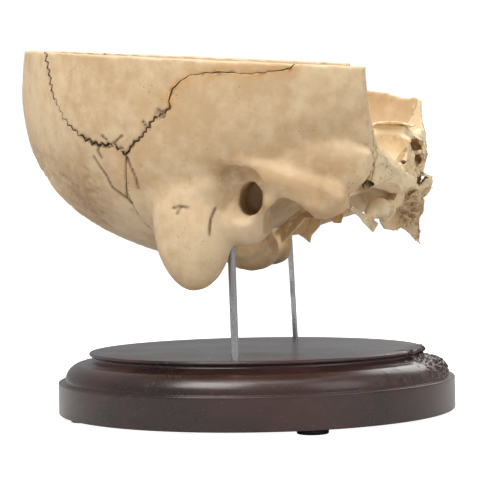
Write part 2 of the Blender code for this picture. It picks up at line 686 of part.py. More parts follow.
bone = material("bone", COLOURS["bone"], 0.6)
parts = {part.name: part for part in part_bones(whole_bone())}
for part in parts.values():
    masses.objects.unlink(part)
    model.objects.link(part)
    part.data.materials.clear()
    part.data.materials.append(bone)
    part.parent = skull_pose
drill_rod_sockets(parts)
build_stand(model, stand_axis)
centre_on_origin(stand_axis, [item for item in model.objects if item.type == "MESH"])
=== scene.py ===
"""A partial human skull as a collection keeps it: sawn level above the ears, broken off in front, and
carried by two steel rods on a round base of dark lacquered wood.

The stand is in metres. The bones are shaped in millimetres in the skull's own frame, with X forward,
Y to its left, Z up and the origin midway between the ear openings, and are then tipped into place.
"""
import math
import random

import bmesh
import bpy
import numpy as np
from mathutils import Euler, Matrix, Vector


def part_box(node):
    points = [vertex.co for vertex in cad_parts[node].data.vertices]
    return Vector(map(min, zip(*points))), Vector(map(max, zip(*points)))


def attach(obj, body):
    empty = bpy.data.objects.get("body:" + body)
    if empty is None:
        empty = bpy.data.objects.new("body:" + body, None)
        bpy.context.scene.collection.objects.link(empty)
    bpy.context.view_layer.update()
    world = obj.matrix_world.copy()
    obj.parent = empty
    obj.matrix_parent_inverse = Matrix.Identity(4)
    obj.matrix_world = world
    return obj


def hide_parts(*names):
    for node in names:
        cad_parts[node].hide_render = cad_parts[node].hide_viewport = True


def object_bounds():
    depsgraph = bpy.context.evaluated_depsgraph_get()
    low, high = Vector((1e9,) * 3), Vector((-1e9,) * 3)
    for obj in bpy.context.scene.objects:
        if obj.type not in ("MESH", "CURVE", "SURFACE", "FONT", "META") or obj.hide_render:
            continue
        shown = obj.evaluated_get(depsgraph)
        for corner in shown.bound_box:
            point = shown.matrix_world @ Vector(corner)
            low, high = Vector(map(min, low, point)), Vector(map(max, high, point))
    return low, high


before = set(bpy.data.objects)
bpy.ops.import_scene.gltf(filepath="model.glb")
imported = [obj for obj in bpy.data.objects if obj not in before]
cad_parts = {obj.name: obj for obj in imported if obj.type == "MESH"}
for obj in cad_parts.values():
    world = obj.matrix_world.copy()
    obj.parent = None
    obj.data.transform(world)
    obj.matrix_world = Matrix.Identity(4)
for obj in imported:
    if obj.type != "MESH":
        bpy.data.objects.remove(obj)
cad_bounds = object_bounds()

MM = 0.001

# The studio: a wide white table under soft boxes, with a camera a hand's breadth above the table
# that looks at the right side of the skull from ten degrees in front of it.
FLOOR_REACH = 4.0
CAMERA_YAW = math.radians(10.0)
CAMERA_DISTANCE = 0.515
CAMERA_SIDESTEP = 0.0048
CAMERA_HEIGHT = 0.0601
CAMERA_ROLL = -0.0192
SENSOR_WIDTH = 36.0
PICTURE_WIDTH = 480.0
FOCAL_PIXELS = 1482.0
LOOK_AT = Vector((0.0, 0.0, 0.07))
# name: azimuth and height of the lamp in degrees, distance, width, height, power
SOFT_BOXES = {
    "key": (-25.0, 50.0, 1.1, 0.6, 0.6, 9.0),
    "fill": (62.0, 30.0, 1.3, 0.7, 0.9, 3.5),
    "top": (0.0, 84.0, 1.0, 0.9, 0.9, 5.0),
    "back": (160.0, 35.0, 1.4, 1.0, 0.8, 6.0),
}

base_low, base_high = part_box("stand_base")
base_axis = Vector(((base_low.x + base_high.x) / 2, (base_low.y + base_high.y) / 2, 0.0))


def link_to_scene(name, data):
    made = bpy.data.objects.new(name, data)
    bpy.context.scene.collection.objects.link(made)
    return made


def mesh_object(bm, name):
    mesh = bpy.data.meshes.new(name)
    bm.to_mesh(mesh)
    bm.free()
    return link_to_scene(name, mesh)


def node(tree, kind, inputs=None, **settings):
    """A node with its settings; inputs are numbers, colours, or sockets of other nodes."""
    made = tree.nodes.new(kind)
    for key, value in settings.items():
        setattr(made, key, value)
    for key, value in (inputs or {}).items():
        if isinstance(value, bpy.types.NodeSocket):
            tree.links.new(value, made.inputs[key])
        else:
            made.inputs[key].default_value = value
    return made


def new_material(name):
    made = bpy.data.materials.new(name)
    made.use_nodes = True
    return made, made.node_tree, made.node_tree.nodes["Principled BSDF"]


bm = bmesh.new()
bmesh.ops.create_grid(bm, x_segments=1, y_segments=1, size=FLOOR_REACH)
floor = mesh_object(bm, "table_top")
floor_white, tree, shader = new_material("white_table")
shader.inputs["Base Color"].default_value = (0.60, 0.60, 0.60, 1.0)
shader.inputs["Roughness"].default_value = 0.6
shader.inputs["Emission Color"].default_value = (1.0, 1.0, 1.0, 1.0)
paths = node(tree, "ShaderNodeLightPath")
tree.links.new(paths.outputs["Is Camera Ray"], shader.inputs["Emission Strength"])
floor.data.materials.append(floor_white)

world = bpy.data.worlds.new("studio")
bpy.context.scene.world = world
world.use_nodes = True
tree = world.node_tree
seen = node(tree, "ShaderNodeBackground", {"Color": (1.0, 1.0, 1.0, 1.0), "Strength": 1.1})
ambient = tree.nodes["Background"]
ambient.inputs["Color"].default_value = (0.97, 0.98, 1.0, 1.0)
ambient.inputs["Strength"].default_value = 0.38
paths = node(tree, "ShaderNodeLightPath")
either = node(tree, "ShaderNodeMixShader", {0: paths.outputs["Is Camera Ray"], 1: ambient.outputs[0],
                                            2: seen.outputs[0]})
tree.links.new(either.outputs[0], tree.nodes["World Output"].inputs["Surface"])

for name, (azimuth, height, distance, wide, tall, power) in SOFT_BOXES.items():
    lamp = bpy.data.lights.new("soft_box_" + name, "AREA")
    lamp.shape = "RECTANGLE"
    lamp.size = wide
    lamp.size_y = tall
    lamp.energy = power
    lamp.color = (1.0, 0.985, 0.96)
    turn = math.radians(azimuth)
    lift = math.radians(height)
    outward = Vector((math.sin(turn) * math.cos(lift), -math.cos(turn) * math.cos(lift), math.sin(lift)))
    spot = link_to_scene("soft_box_" + name, lamp)
    spot.matrix_world = Matrix.Translation(base_axis + LOOK_AT + outward * distance) @ \
        (-outward).to_track_quat("-Z", "Y").to_matrix().to_4x4()

toward = Vector((-math.sin(CAMERA_YAW), math.cos(CAMERA_YAW), 0.0))
sideways = Vector((math.cos(CAMERA_YAW), math.sin(CAMERA_YAW), 0.0))
camera = link_to_scene("camera", bpy.data.cameras.new("camera"))
camera.data.sensor_width = SENSOR_WIDTH
camera.data.lens = FOCAL_PIXELS * SENSOR_WIDTH / PICTURE_WIDTH
camera.data.clip_start = 0.01
camera.matrix_world = Matrix.Translation(
    base_axis - toward * CAMERA_DISTANCE - sideways * CAMERA_SIDESTEP + Vector((0.0, 0.0, CAMERA_HEIGHT))) \
    @ toward.to_track_quat("-Z", "Y").to_matrix().to_4x4() @ Matrix.Rotation(CAMERA_ROLL, 4, "Z")
bpy.context.scene.camera = camera
bpy.context.scene.view_settings.view_transform = "Standard"

# The base: one disc of hardwood, turned with a bead, a quarter round and a ledge above its upright
# wall, stained almost black and lacquered. Its right edge has been knocked and rubbed.
BASE_RADIUS = base_high.x - base_axis.x
BASE_UNDERSIDE = base_low.z
BASE_TOP = base_high.z
WALL_TOP = BASE_UNDERSIDE + 0.0108
LEDGE_RADIUS = 0.0660
ROUND_START = 0.0600
BEAD_RADIUS = 0.0577
BEAD = 0.0006
TURN_STEPS = 720
KNOCKED_TOWARD = math.radians(-6.0)
CHIP_DEPTH = 0.0009
LACQUER = (0.020, 0.0085, 0.0085, 1.0)
STAINED_WOOD = (0.045, 0.016, 0.013, 1.0)
RAW_WOOD = (0.085, 0.038, 0.022, 1.0)


def arc(centre, radius, start, end, steps):
    """Points (radius, height) of an arc in a turned profile, by degrees from straight out."""
    points = []
    for i in range(steps + 1):
        angle = math.radians(start + (end - start) * i / steps)
        points.append((centre[0] + radius * math.cos(angle), centre[1] + radius * math.sin(angle)))
    return points


def filled_in(points, spacing):
    """The same line with points at least so close together."""
    dense = [points[0]]
    for (r0, z0), (r1, z1) in zip(points, points[1:]):
        count = max(1, math.ceil(math.hypot(r1 - r0, z1 - z0) / spacing))
        for i in range(1, count + 1):
            dense.append((r0 + (r1 - r0) * i / count, z0 + (z1 - z0) * i / count))
    return dense


def base_profile():
    """The turned outline from the middle of the top, down the outside, to the middle underneath."""
    edge = 0.0004
    outline = arc((BEAD_RADIUS - BEAD, BASE_TOP - BEAD), BEAD, 90.0, -60.0, 8)
    outline += [(BEAD_RADIUS - 0.0011, BASE_TOP - 0.0016), (BEAD_RADIUS - 0.0009, BASE_TOP - 0.0022),
                (BEAD_RADIUS - 0.0004, BASE_TOP - 0.0026)]
    outline += arc((ROUND_START, WALL_TOP + 0.0002), LEDGE_RADIUS - ROUND_START, 90.0, 0.0, 14)
    outline += [(LEDGE_RADIUS + 0.0001, WALL_TOP)]
    outline += arc((BASE_RADIUS - edge, WALL_TOP - edge), edge, 90.0, 0.0, 4)
    outline += arc((BASE_RADIUS - edge, BASE_UNDERSIDE + edge), edge, 0.0, -90.0, 4)
    rim = filled_in(outline, 0.0006)
    return filled_in([(0.0, BASE_TOP), rim[0]], 0.006)[:-1] + rim \
        + filled_in([rim[-1], (0.0, BASE_UNDERSIDE)], 0.02)[1:]


def geometry_tree(name, inputs):
    """A geometry tree with named inputs, its group input and its group output."""
    tree = bpy.data.node_groups.new(name, "GeometryNodeTree")
    tree.interface.new_socket("Geometry", in_out="INPUT", socket_type="NodeSocketGeometry")
    for label, kind in inputs.items():
        tree.interface.new_socket(label, in_out="INPUT", socket_type="NodeSocket" + kind)
    tree.interface.new_socket("Geometry", in_out="OUTPUT", socket_type="NodeSocketGeometry")
    return tree, tree.nodes.new("NodeGroupInput").outputs, tree.nodes.new("NodeGroupOutput").inputs


def calc(tree, operation, *values):
    """A math node on numbers or sockets."""
    return node(tree, "ShaderNodeMath", dict(enumerate(values)), operation=operation).outputs[0]


def vector_calc(tree, operation, *values, output="Vector", **named):
    inputs = dict(enumerate(values))
    inputs.update(named)
    return node(tree, "ShaderNodeVectorMath", inputs, operation=operation).outputs[output]


def noise(tree, scale, detail=3.0, vector=None, roughness=0.5):
    inputs = {"Scale": scale, "Detail": detail, "Roughness": roughness}
    if vector is not None:
        inputs["Vector"] = vector
    return node(tree, "ShaderNodeTexNoise", inputs).outputs["Fac"]


def between(tree, value, low, high, smooth=True):
    """Rises from 0 to 1 while the value goes from low to high."""
    return node(tree, "ShaderNodeMapRange", {"Value": value, "From Min": low, "From Max": high},
                interpolation_type="SMOOTHSTEP" if smooth else "LINEAR").outputs["Result"]


def run_tree(item, tree, values, finish):
    """Runs a tree on an object, keeps the result as its plain mesh and gives it its finish."""
    modifier = item.modifiers.new(tree.name, "NODES")
    modifier.node_group = tree
    for socket in tree.interface.items_tree:
        if socket.in_out == "INPUT" and socket.name in values:
            modifier[socket.identifier] = values[socket.name]
        if socket.in_out == "INPUT" and socket.name == "Material":
            modifier[socket.identifier] = finish
    graph = bpy.context.evaluated_depsgraph_get()
    mesh = bpy.data.meshes.new_from_object(item.evaluated_get(graph))
    item.modifiers.clear()
    item.data = mesh
    mesh.materials.clear()
    mesh.materials.append(finish)
    return item


def turned_tree():
    """Turns a profile about the upright axis, with chips knocked out of its edges on one side."""
    tree, given, result = geometry_tree("turned_disc", {
        "Steps": "Int", "Profile Points": "Int", "Axis": "Vector", "Chip Depth": "Float",
        "Knocked Toward": "Vector", "Seed": "Float", "Material": "Material"})
    rows = calc(tree, "ADD", given["Steps"], 1.0)
    grid = node(tree, "GeometryNodeMeshGrid", {"Vertices X": rows, "Vertices Y": given["Profile Points"]})
    index = node(tree, "GeometryNodeInputIndex").outputs[0]
    count = given["Profile Points"]
    turn = calc(tree, "FLOOR", calc(tree, "DIVIDE", calc(tree, "ADD", index, 0.5), count))
    point = calc(tree, "SUBTRACT", index, calc(tree, "MULTIPLY", turn, count))
    here = node(tree, "GeometryNodeInputPosition").outputs[0]
    sampled = node(tree, "GeometryNodeSampleIndex", {"Geometry": given["Geometry"], "Value": here,
                                                    "Index": point}, data_type="FLOAT_VECTOR")
    angle = calc(tree, "DIVIDE", calc(tree, "MULTIPLY", turn, math.tau), given["Steps"])
    spun = node(tree, "ShaderNodeVectorRotate", {"Vector": sampled.outputs[0], "Angle": angle},
                rotation_type="Z_AXIS").outputs[0]
    shaped = node(tree, "GeometryNodeSetPosition", {"Geometry": grid.outputs["Mesh"], "Position": spun})
    closed = node(tree, "GeometryNodeMergeByDistance", {"Geometry": shaped.outputs[0], "Distance": 1e-6})
    outward = vector_calc(tree, "NORMALIZE", vector_calc(tree, "MULTIPLY", here, (1.0, 1.0, 0.0)))
    facing = vector_calc(tree, "DOT_PRODUCT", outward, given["Knocked Toward"], output="Value")
    knocked = between(tree, facing, 0.93, 1.0)
    rim = vector_calc(tree, "LENGTH", vector_calc(tree, "MULTIPLY", here, (1.0, 1.0, 0.0)), output="Value")
    edge = between(tree, rim, BEAD_RADIUS - 0.0016, BEAD_RADIUS - 0.0002)
    below_wall = between(tree, rim, LEDGE_RADIUS + 0.0004, LEDGE_RADIUS - 0.0006)
    place = vector_calc(tree, "ADD", here, node(tree, "ShaderNodeCombineXYZ",
        {"X": given["Seed"]}).outputs[0])
    chips = between(tree, noise(tree, 620.0, 2.0, place), 0.50, 0.66)
    dents = between(tree, noise(tree, 260.0, 1.0, place), 0.62, 0.80)
    depth = calc(tree, "MULTIPLY", calc(tree, "MULTIPLY", edge, below_wall),
                 calc(tree, "ADD", calc(tree, "MULTIPLY", chips, knocked), calc(tree, "MULTIPLY", dents,
                     0.10)))
    inward = calc(tree, "MULTIPLY", calc(tree, "MULTIPLY", depth, given["Chip Depth"]), -1.0)
    normal = node(tree, "GeometryNodeInputNormal").outputs[0]
    chipped = node(tree, "GeometryNodeSetPosition", {"Geometry": closed.outputs[0], "Offset": vector_calc(
        tree, "SCALE", normal, Scale=inward)})
    placed = node(tree, "GeometryNodeTransform", {"Geometry": chipped.outputs[0],
                                                 "Translation": given["Axis"]})
    smooth = node(tree, "GeometryNodeSetShadeSmooth", {"Geometry": placed.outputs[0]})
    real = node(tree, "GeometryNodeRealizeInstances", {"Geometry": smooth.outputs[0]})
    dressed = node(tree, "GeometryNodeSetMaterial", {"Geometry": real.outputs[0],
                                                    "Material": given["Material"]})
    tree.links.new(dressed.outputs[0], result["Geometry"])
    return tree


def colour_mix(tree, share, first, second, blend="MIX"):
    mixed = node(tree, "ShaderNodeMix", {"Factor": share}, data_type="RGBA", blend_type=blend)
    for socket, value in ((mixed.inputs[6], first), (mixed.inputs[7], second)):
        if isinstance(value, bpy.types.NodeSocket):
            tree.links.new(value, socket)
        else:
            socket.default_value = value
    return mixed.outputs[2]


def lacquered_wood():
    """Dark stain under a satin lacquer, with fine turning lines, dust specks and worn edges."""
    made, tree, shader = new_material("dark_lacquered_wood")
    where = node(tree, "ShaderNodeTexCoord").outputs["Object"]
    local = node(tree, "ShaderNodeMapping", {"Vector": where, "Location": -base_axis}).outputs[0]
    parts = node(tree, "ShaderNodeSeparateXYZ", {0: local}).outputs
    around = vector_calc(tree, "MULTIPLY", local, (1.0, 1.0, 0.0))
    out = vector_calc(tree, "LENGTH", around, output="Value")
    facing = vector_calc(tree, "DOT_PRODUCT", vector_calc(tree, "NORMALIZE", around),
                         (math.cos(KNOCKED_TOWARD), math.sin(KNOCKED_TOWARD), 0.0), output="Value")
    lathe = node(tree, "ShaderNodeCombineXYZ", {"X": calc(tree, "MULTIPLY", out, 2600.0),
                                                "Y": calc(tree, "MULTIPLY", parts["Z"], 2600.0),
                                                "Z": calc(tree, "MULTIPLY", facing, 9.0)}).outputs[0]
    lines = noise(tree, 1.0, 2.0, lathe)
    grain_place = node(tree, "ShaderNodeMapping", {"Vector": local, "Scale": (30.0, 260.0,
        260.0)}).outputs[0]
    grain = noise(tree, 1.0, 6.0, grain_place, 0.65)
    cloud = noise(tree, 38.0, 3.0, local)
    fine = noise(tree, 1500.0, 2.0, local)
    colour = colour_mix(tree, between(tree, cloud, 0.38, 0.66), LACQUER, STAINED_WOOD)
    colour = colour_mix(tree, calc(tree, "MULTIPLY", between(tree, grain, 0.5, 0.75), 0.4), colour,
                        (0.075, 0.028, 0.020, 1.0))
    edge_high = between(tree, out, BEAD_RADIUS - 0.0012, BEAD_RADIUS - 0.0002)
    on_top = between(tree, parts["Z"], BASE_TOP - 0.0030, BASE_TOP - 0.0004)
    round_edge = calc(tree, "MULTIPLY", between(tree, out, LEDGE_RADIUS - 0.0018, LEDGE_RADIUS - 0.0004),
                      between(tree, out, LEDGE_RADIUS + 0.0005, LEDGE_RADIUS))
    edges = calc(tree, "MAXIMUM", calc(tree, "MULTIPLY", edge_high, on_top), round_edge)
    rubbed = calc(tree, "MULTIPLY", between(tree, facing, 0.55, 0.98),
                  between(tree, noise(tree, 420.0, 4.0, local, 0.7), 0.44, 0.60))
    worn = calc(tree, "MULTIPLY", edges, calc(tree, "ADD", rubbed, calc(
        tree, "MULTIPLY", between(tree, noise(tree, 700.0, 3.0, local), 0.62, 0.70), 0.5)))
    worn = node(tree, "ShaderNodeClamp", {"Value": worn}).outputs[0]
    colour = colour_mix(tree, worn, colour, RAW_WOOD)
    specks = between(tree, noise(tree, 2300.0, 1.0, local), 0.70, 0.76)
    colour = colour_mix(tree, calc(tree, "MULTIPLY", specks, 0.35), colour, (0.25, 0.19, 0.15, 1.0))
    tree.links.new(colour, shader.inputs["Base Color"])
    gloss = calc(tree, "ADD", 0.20, calc(tree, "MULTIPLY", between(tree, cloud, 0.3, 0.7), 0.12))
    gloss = calc(tree, "ADD", gloss, calc(tree, "MULTIPLY", worn, 0.45))
    gloss = calc(tree, "ADD", gloss, calc(tree, "MULTIPLY", fine, 0.10))
    tree.links.new(gloss, shader.inputs["Roughness"])
    shader.inputs["Coat Weight"].default_value = 0.35
    shader.inputs["Coat Roughness"].default_value = 0.22
    height = calc(tree, "ADD", calc(tree, "MULTIPLY", lines, 0.4),
                  calc(tree, "ADD", calc(tree, "MULTIPLY", fine, 0.5), calc(tree, "MULTIPLY", grain, 0.6)))
    height = calc(tree, "SUBTRACT", height, calc(tree, "MULTIPLY", worn, 1.4))
    bump = node(tree, "ShaderNodeBump", {"Strength": 0.35, "Distance": 0.00012, "Height": height})
    tree.links.new(bump.outputs[0], shader.inputs["Normal"])
    return made


profile = base_profile()
bm = bmesh.new()
rim = [bm.verts.new((radius, 0.0, height)) for radius, height in profile]
for upper, lower in zip(rim, rim[1:]):
    bm.edges.new((upper, lower))
base = mesh_object(bm, "turned_base")
run_tree(base, turned_tree(), {
    "Steps": TURN_STEPS, "Profile Points": len(profile), "Axis": base_axis, "Chip Depth": CHIP_DEPTH,
    "Knocked Toward": (math.cos(KNOCKED_TOWARD), math.sin(KNOCKED_TOWARD), 0.0), "Seed": 3.7,
}, lacquered_wood())
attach(base, "root")
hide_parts("stand_base")

# Four dull black feet under the rim of the base: short discs with rounded edges, pressed on.
FOOT_NODES = ["stand_foot_%d" % i for i in range(1, 5)]
FOOT_EDGE = 0.0004
FOOT_STEPS = 48


def feet_tree():
    """Stands one turned foot on each point."""
    tree, given, result = geometry_tree("set_of_feet", {"Foot": "Object", "Material": "Material"})
    foot = node(tree, "GeometryNodeObjectInfo", {"Object": given["Foot"]}).outputs["Geometry"]
    spots = node(tree, "GeometryNodeMeshToPoints", {"Mesh": given["Geometry"]}).outputs[0]
    stood = node(tree, "GeometryNodeInstanceOnPoints", {"Points": spots, "Instance": foot}).outputs[0]
    real = node(tree, "GeometryNodeRealizeInstances", {"Geometry": stood}).outputs[0]
    dressed = node(tree, "GeometryNodeSetMaterial", {"Geometry": real, "Material": given["Material"]})
    tree.links.new(dressed.outputs[0], result["Geometry"])
    return tree


def dull_rubber():
    made, tree, shader = new_material("dull_black_rubber")
    where = node(tree, "ShaderNodeTexCoord").outputs["Object"]
    dust = between(tree, noise(tree, 900.0, 4.0, where), 0.45, 0.75)
    colour = colour_mix(tree, dust, (0.012, 0.011, 0.012, 1.0), (0.055, 0.05, 0.047, 1.0))
    tree.links.new(colour, shader.inputs["Base Color"])
    tree.links.new(calc(tree, "ADD", 0.62, calc(tree, "MULTIPLY", dust, 0.25)), shader.inputs["Roughness"])
    bump = node(tree, "ShaderNodeBump", {"Strength": 0.4, "Distance": 0.0001,
                                         "Height": noise(tree, 2600.0, 3.0, where)})
    tree.links.new(bump.outputs[0], shader.inputs["Normal"])
    return made


boxes = [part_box(name) for name in FOOT_NODES]
foot_radius = (boxes[0][1].x - boxes[0][0].x) / 2
foot_height = boxes[0][1].z - boxes[0][0].z
bm = bmesh.new()
outline = [(0.0, foot_height)] + arc((foot_radius - FOOT_EDGE, foot_height - FOOT_EDGE), FOOT_EDGE, 90.0,
           0.0, 3)
outline += arc((foot_radius - FOOT_EDGE, FOOT_EDGE), FOOT_EDGE, 0.0, -90.0, 3) + [(0.0, 0.0)]
line = [bm.verts.new((radius, 0.0, height)) for radius, height in outline]
edges = [bm.edges.new(pair) for pair in zip(line, line[1:])]
bmesh.ops.spin(bm, geom=line + edges, cent=(0, 0, 0), axis=(0, 0, 1), angle=math.tau, steps=FOOT_STEPS)
bmesh.ops.remove_doubles(bm, verts=bm.verts, dist=1e-6)
bmesh.ops.recalc_face_normals(bm, faces=bm.faces)
pattern_foot = mesh_object(bm, "pattern_foot")
bm = bmesh.new()
for low, high in boxes:
    bm.verts.new(((low.x + high.x) / 2, (low.y + high.y) / 2, low.z))
feet = mesh_object(bm, "set_of_feet")
run_tree(feet, feet_tree(), {"Foot": pattern_foot}, dull_rubber())
bpy.data.objects.remove(pattern_foot)
feet.data.shade_smooth()
feet.data.set_sharp_from_angle(angle=math.radians(50.0))
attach(feet, "root")
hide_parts(*FOOT_NODES)

# Two lengths of drawn steel rod, one under each ear, set upright in blind holes of the base and in
# holes drilled up into the bone. The left one is the thinner.
ROD_SOCKET = 0.0077
ROD_SIDES = 40
RODS = {
    "right": {"radius": 0.00125, "foot": (0.0024, -0.0530), "head": (0.0010, -0.0500), "top": 0.0640},
    "left": {"radius": 0.0010, "foot": (0.0085, 0.0413), "head": (0.0067, 0.0400), "top": 0.0650},
}


def rod_tree():
    """A round bar between two points."""
    tree, given, result = geometry_tree("drawn_rod", {
        "Start": "Vector", "End": "Vector", "Radius": "Float", "Sides": "Int", "Material": "Material"})
    path = node(tree, "GeometryNodeCurvePrimitiveLine", {"Start": given["Start"], "End": given["End"]})
    finer = node(tree, "GeometryNodeResampleCurve", {"Curve": path.outputs[0], "Count": 24})
    section = node(tree, "GeometryNodeCurvePrimitiveCircle", {"Resolution": given["Sides"],
                                                             "Radius": given["Radius"]})
    bar = node(tree, "GeometryNodeCurveToMesh", {"Curve": finer.outputs[0],
                                                "Profile Curve": section.outputs[0], "Fill Caps": True})
    real = node(tree, "GeometryNodeRealizeInstances", {"Geometry": bar.outputs[0]}).outputs[0]
    dressed = node(tree, "GeometryNodeSetMaterial", {"Geometry": real, "Material": given["Material"]})
    tree.links.new(dressed.outputs[0], result["Geometry"])
    return tree


def drawn_steel():
    """Bright steel with fine lines along the rod and a few dull patches."""
    made, tree, shader = new_material("drawn_steel")
    where = node(tree, "ShaderNodeTexCoord").outputs["Object"]
    along = node(tree, "ShaderNodeMapping", {"Vector": where, "Scale": (5200.0, 5200.0, 60.0)}).outputs[0]
    lines = noise(tree, 1.0, 2.0, along)
    dull = between(tree, noise(tree, 160.0, 4.0, where), 0.45, 0.72)
    colour = colour_mix(tree, lines, (0.42, 0.42, 0.44, 1.0), (0.66, 0.66, 0.68, 1.0))
    colour = colour_mix(tree, calc(tree, "MULTIPLY", dull, 0.5), colour, (0.30, 0.28, 0.27, 1.0))
    tree.links.new(colour, shader.inputs["Base Color"])
    shader.inputs["Metallic"].default_value = 1.0
    tree.links.new(calc(tree, "ADD", 0.22, calc(tree, "MULTIPLY", dull, 0.22)), shader.inputs["Roughness"])
    bump = node(tree, "ShaderNodeBump", {"Strength": 0.25, "Distance": 0.00005, "Height": lines})
    tree.links.new(bump.outputs[0], shader.inputs["Normal"])
    return made


steel = drawn_steel()
drawn_rod = rod_tree()
for side, spec in RODS.items():
    rod = mesh_object(bmesh.new(), "steel_rod_" + side)
    start = base_axis + Vector((*spec["foot"], BASE_TOP - ROD_SOCKET))
    end = base_axis + Vector((*spec["head"], spec["top"]))
    run_tree(rod, drawn_rod, {"Start": start, "End": end, "Radius": spec["radius"], "Sides": ROD_SIDES},
        steel)
    rod.data.shade_smooth()
    rod.data.set_sharp_from_angle(angle=math.radians(40.0))
    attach(rod, "root")
    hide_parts("stand_rod_" + side)

# The braincase: the bowl of bone behind and beside the brain, about five millimetres thick, which
# all the other bony masses are melted into before the whole is parted along its sutures.
CASE_CENTRE = (-10.0, 0.0, 40.0)
CASE_BACK = 83.9
CASE_FRONT = 85.0
CASE_HALF_WIDTH = 69.0
CASE_TOP = 72.0
CASE_DEPTH = 70.0
CASE_SQUARENESS = 2.8
FLOOR_RISE = 0.40
FLOOR_RISE_FROM = -30.0
FLOOR_RISE_TO = 32.0
VAULT_WALL = 5.5
VOXEL = 0.75
SPLINTER_VOXEL = VOXEL * 0.6
MASSES_ROUNDING = 3.6
HOLLOWS_ROUNDING = 0.9
SPLINTER_ROUNDING = 0.4
SIDES = {"right": -1.0, "left": 1.0}


def smooth_passes(radius):
    """How many passes of smoothing round the surface off by about so many millimetres."""
    return max(1, round((radius / VOXEL) ** 2))


def shaped(bm, centre, size, turn, name):
    """Scales, turns by degrees and places a unit shape, in millimetres."""
    angles = Euler([math.radians(a) for a in turn])
    matrix = Matrix.LocRotScale(Vector(centre) * MM, angles, Vector(size) * MM)
    bmesh.ops.transform(bm, matrix=matrix, verts=bm.verts)
    return mesh_object(bm, name)


def ball(centre, radii, turn=(0.0, 0.0, 0.0)):
    bm = bmesh.new()
    bmesh.ops.create_uvsphere(bm, u_segments=48, v_segments=28, radius=1.0)
    return shaped(bm, centre, radii, turn, "ball")


def block(centre, halves, turn=(0.0, 0.0, 0.0)):
    bm = bmesh.new()
    bmesh.ops.create_cube(bm, size=2.0)
    return shaped(bm, centre, halves, turn, "block")


def drum(centre, halves, turn=(0.0, 0.0, 0.0)):
    bm = bmesh.new()
    bmesh.ops.create_cone(bm, cap_ends=True, segments=48, radius1=1.0, radius2=1.0, depth=2.0)
    return shaped(bm, centre, halves, turn, "drum")


def hull(points):
    """The smallest rounded-out solid round some points."""
    bm = bmesh.new()
    verts = [bm.verts.new(Vector(point) * MM) for point in points]
    bmesh.ops.convex_hull(bm, input=verts)
    return mesh_object(bm, "hull")


def spindle(start, start_radius, end, end_radius):
    """A tapered rod with a ball at each end; returns its pieces."""
    start = Vector(start)
    end = Vector(end)
    bm = bmesh.new()
    bmesh.ops.create_cone(bm, cap_ends=True, segments=32, radius1=start_radius * MM,
                          radius2=max(end_radius, 0.2) * MM, depth=(end - start).length * MM)
    turn = (end - start).to_track_quat("Z", "Y").to_matrix().to_4x4()
    bmesh.ops.transform(bm, matrix=Matrix.Translation((start + end) * 0.5 * MM) @ turn, verts=bm.verts)
    pieces = [mesh_object(bm, "spindle"), ball(start, (start_radius,) * 3)]
    if end_radius > 1.0:
        pieces.append(ball(end, (end_radius,) * 3))
    return pieces


def smoothstep(low, high, value):
    t = min(1.0, max(0.0, (value - low) / (high - low)))
    return t * t * (3.0 - 2.0 * t)


def braincase(wall):
    """The braincase's closed surface, set in by the wall's thickness."""
    bm = bmesh.new()
    bmesh.ops.create_uvsphere(bm, u_segments=160, v_segments=110, radius=1.0)
    power = 2.0 / CASE_SQUARENESS
    for vert in bm.verts:
        length = (CASE_BACK if vert.co.x < 0.0 else CASE_FRONT) - wall
        height = (CASE_TOP if vert.co.z > 0.0 else CASE_DEPTH) - wall
        ring = math.hypot(vert.co.x, vert.co.y)
        spread = ring ** power / max(ring, 1e-6)
        x = CASE_CENTRE[0] + length * vert.co.x * spread
        y = CASE_CENTRE[1] + (CASE_HALF_WIDTH - wall) * vert.co.y * spread
        drop = height * math.copysign(abs(vert.co.z) ** power, vert.co.z)
        if drop < 0.0:
            drop *= 1.0 - FLOOR_RISE * smoothstep(FLOOR_RISE_FROM, FLOOR_RISE_TO, x)
        vert.co = Vector((x, y, CASE_CENTRE[2] + drop)) * MM
    return mesh_object(bm, "bowl")


def apply(item, kind, **settings):
    bpy.ops.object.select_all(action="DESELECT")
    item.select_set(True)
    bpy.context.view_layer.objects.active = item
    modifier = item.modifiers.new(kind.lower(), kind)
    for key, value in settings.items():
        setattr(modifier, key, value)
    bpy.ops.object.modifier_apply(modifier=modifier.name)


def melt(pieces, rounding, voxel=VOXEL):
    """Melts overlapping masses into one closed surface, rounded off by so many millimetres."""
    bpy.ops.object.select_all(action="DESELECT")
    for piece in pieces:
        piece.select_set(True)
    whole = pieces[0]
    bpy.context.view_layer.objects.active = whole
    bpy.ops.object.join()
    apply(whole, "REMESH", mode="VOXEL", voxel_size=voxel * MM, adaptivity=0.0)
    apply(whole, "SMOOTH", factor=0.5, iterations=smooth_passes(rounding))
    return whole


def combine(item, other, operation="DIFFERENCE"):
    apply(item, "BOOLEAN", operation=operation, object=other, solver="MANIFOLD")
    bpy.data.objects.remove(other)


# Where the bones part: the saw cut across the vault, the broken front and the broken left wall.
SAW_HEIGHT = 41.4
SAW_RISE_FORWARD = 0.0734
SAW_RISE_LEFT = 0.0816
SAW_MARGIN = 4.0
SAW_BLOCK = 0.4
saw_slope = Vector((-SAW_RISE_FORWARD, -SAW_RISE_LEFT, 1.0)).normalized()
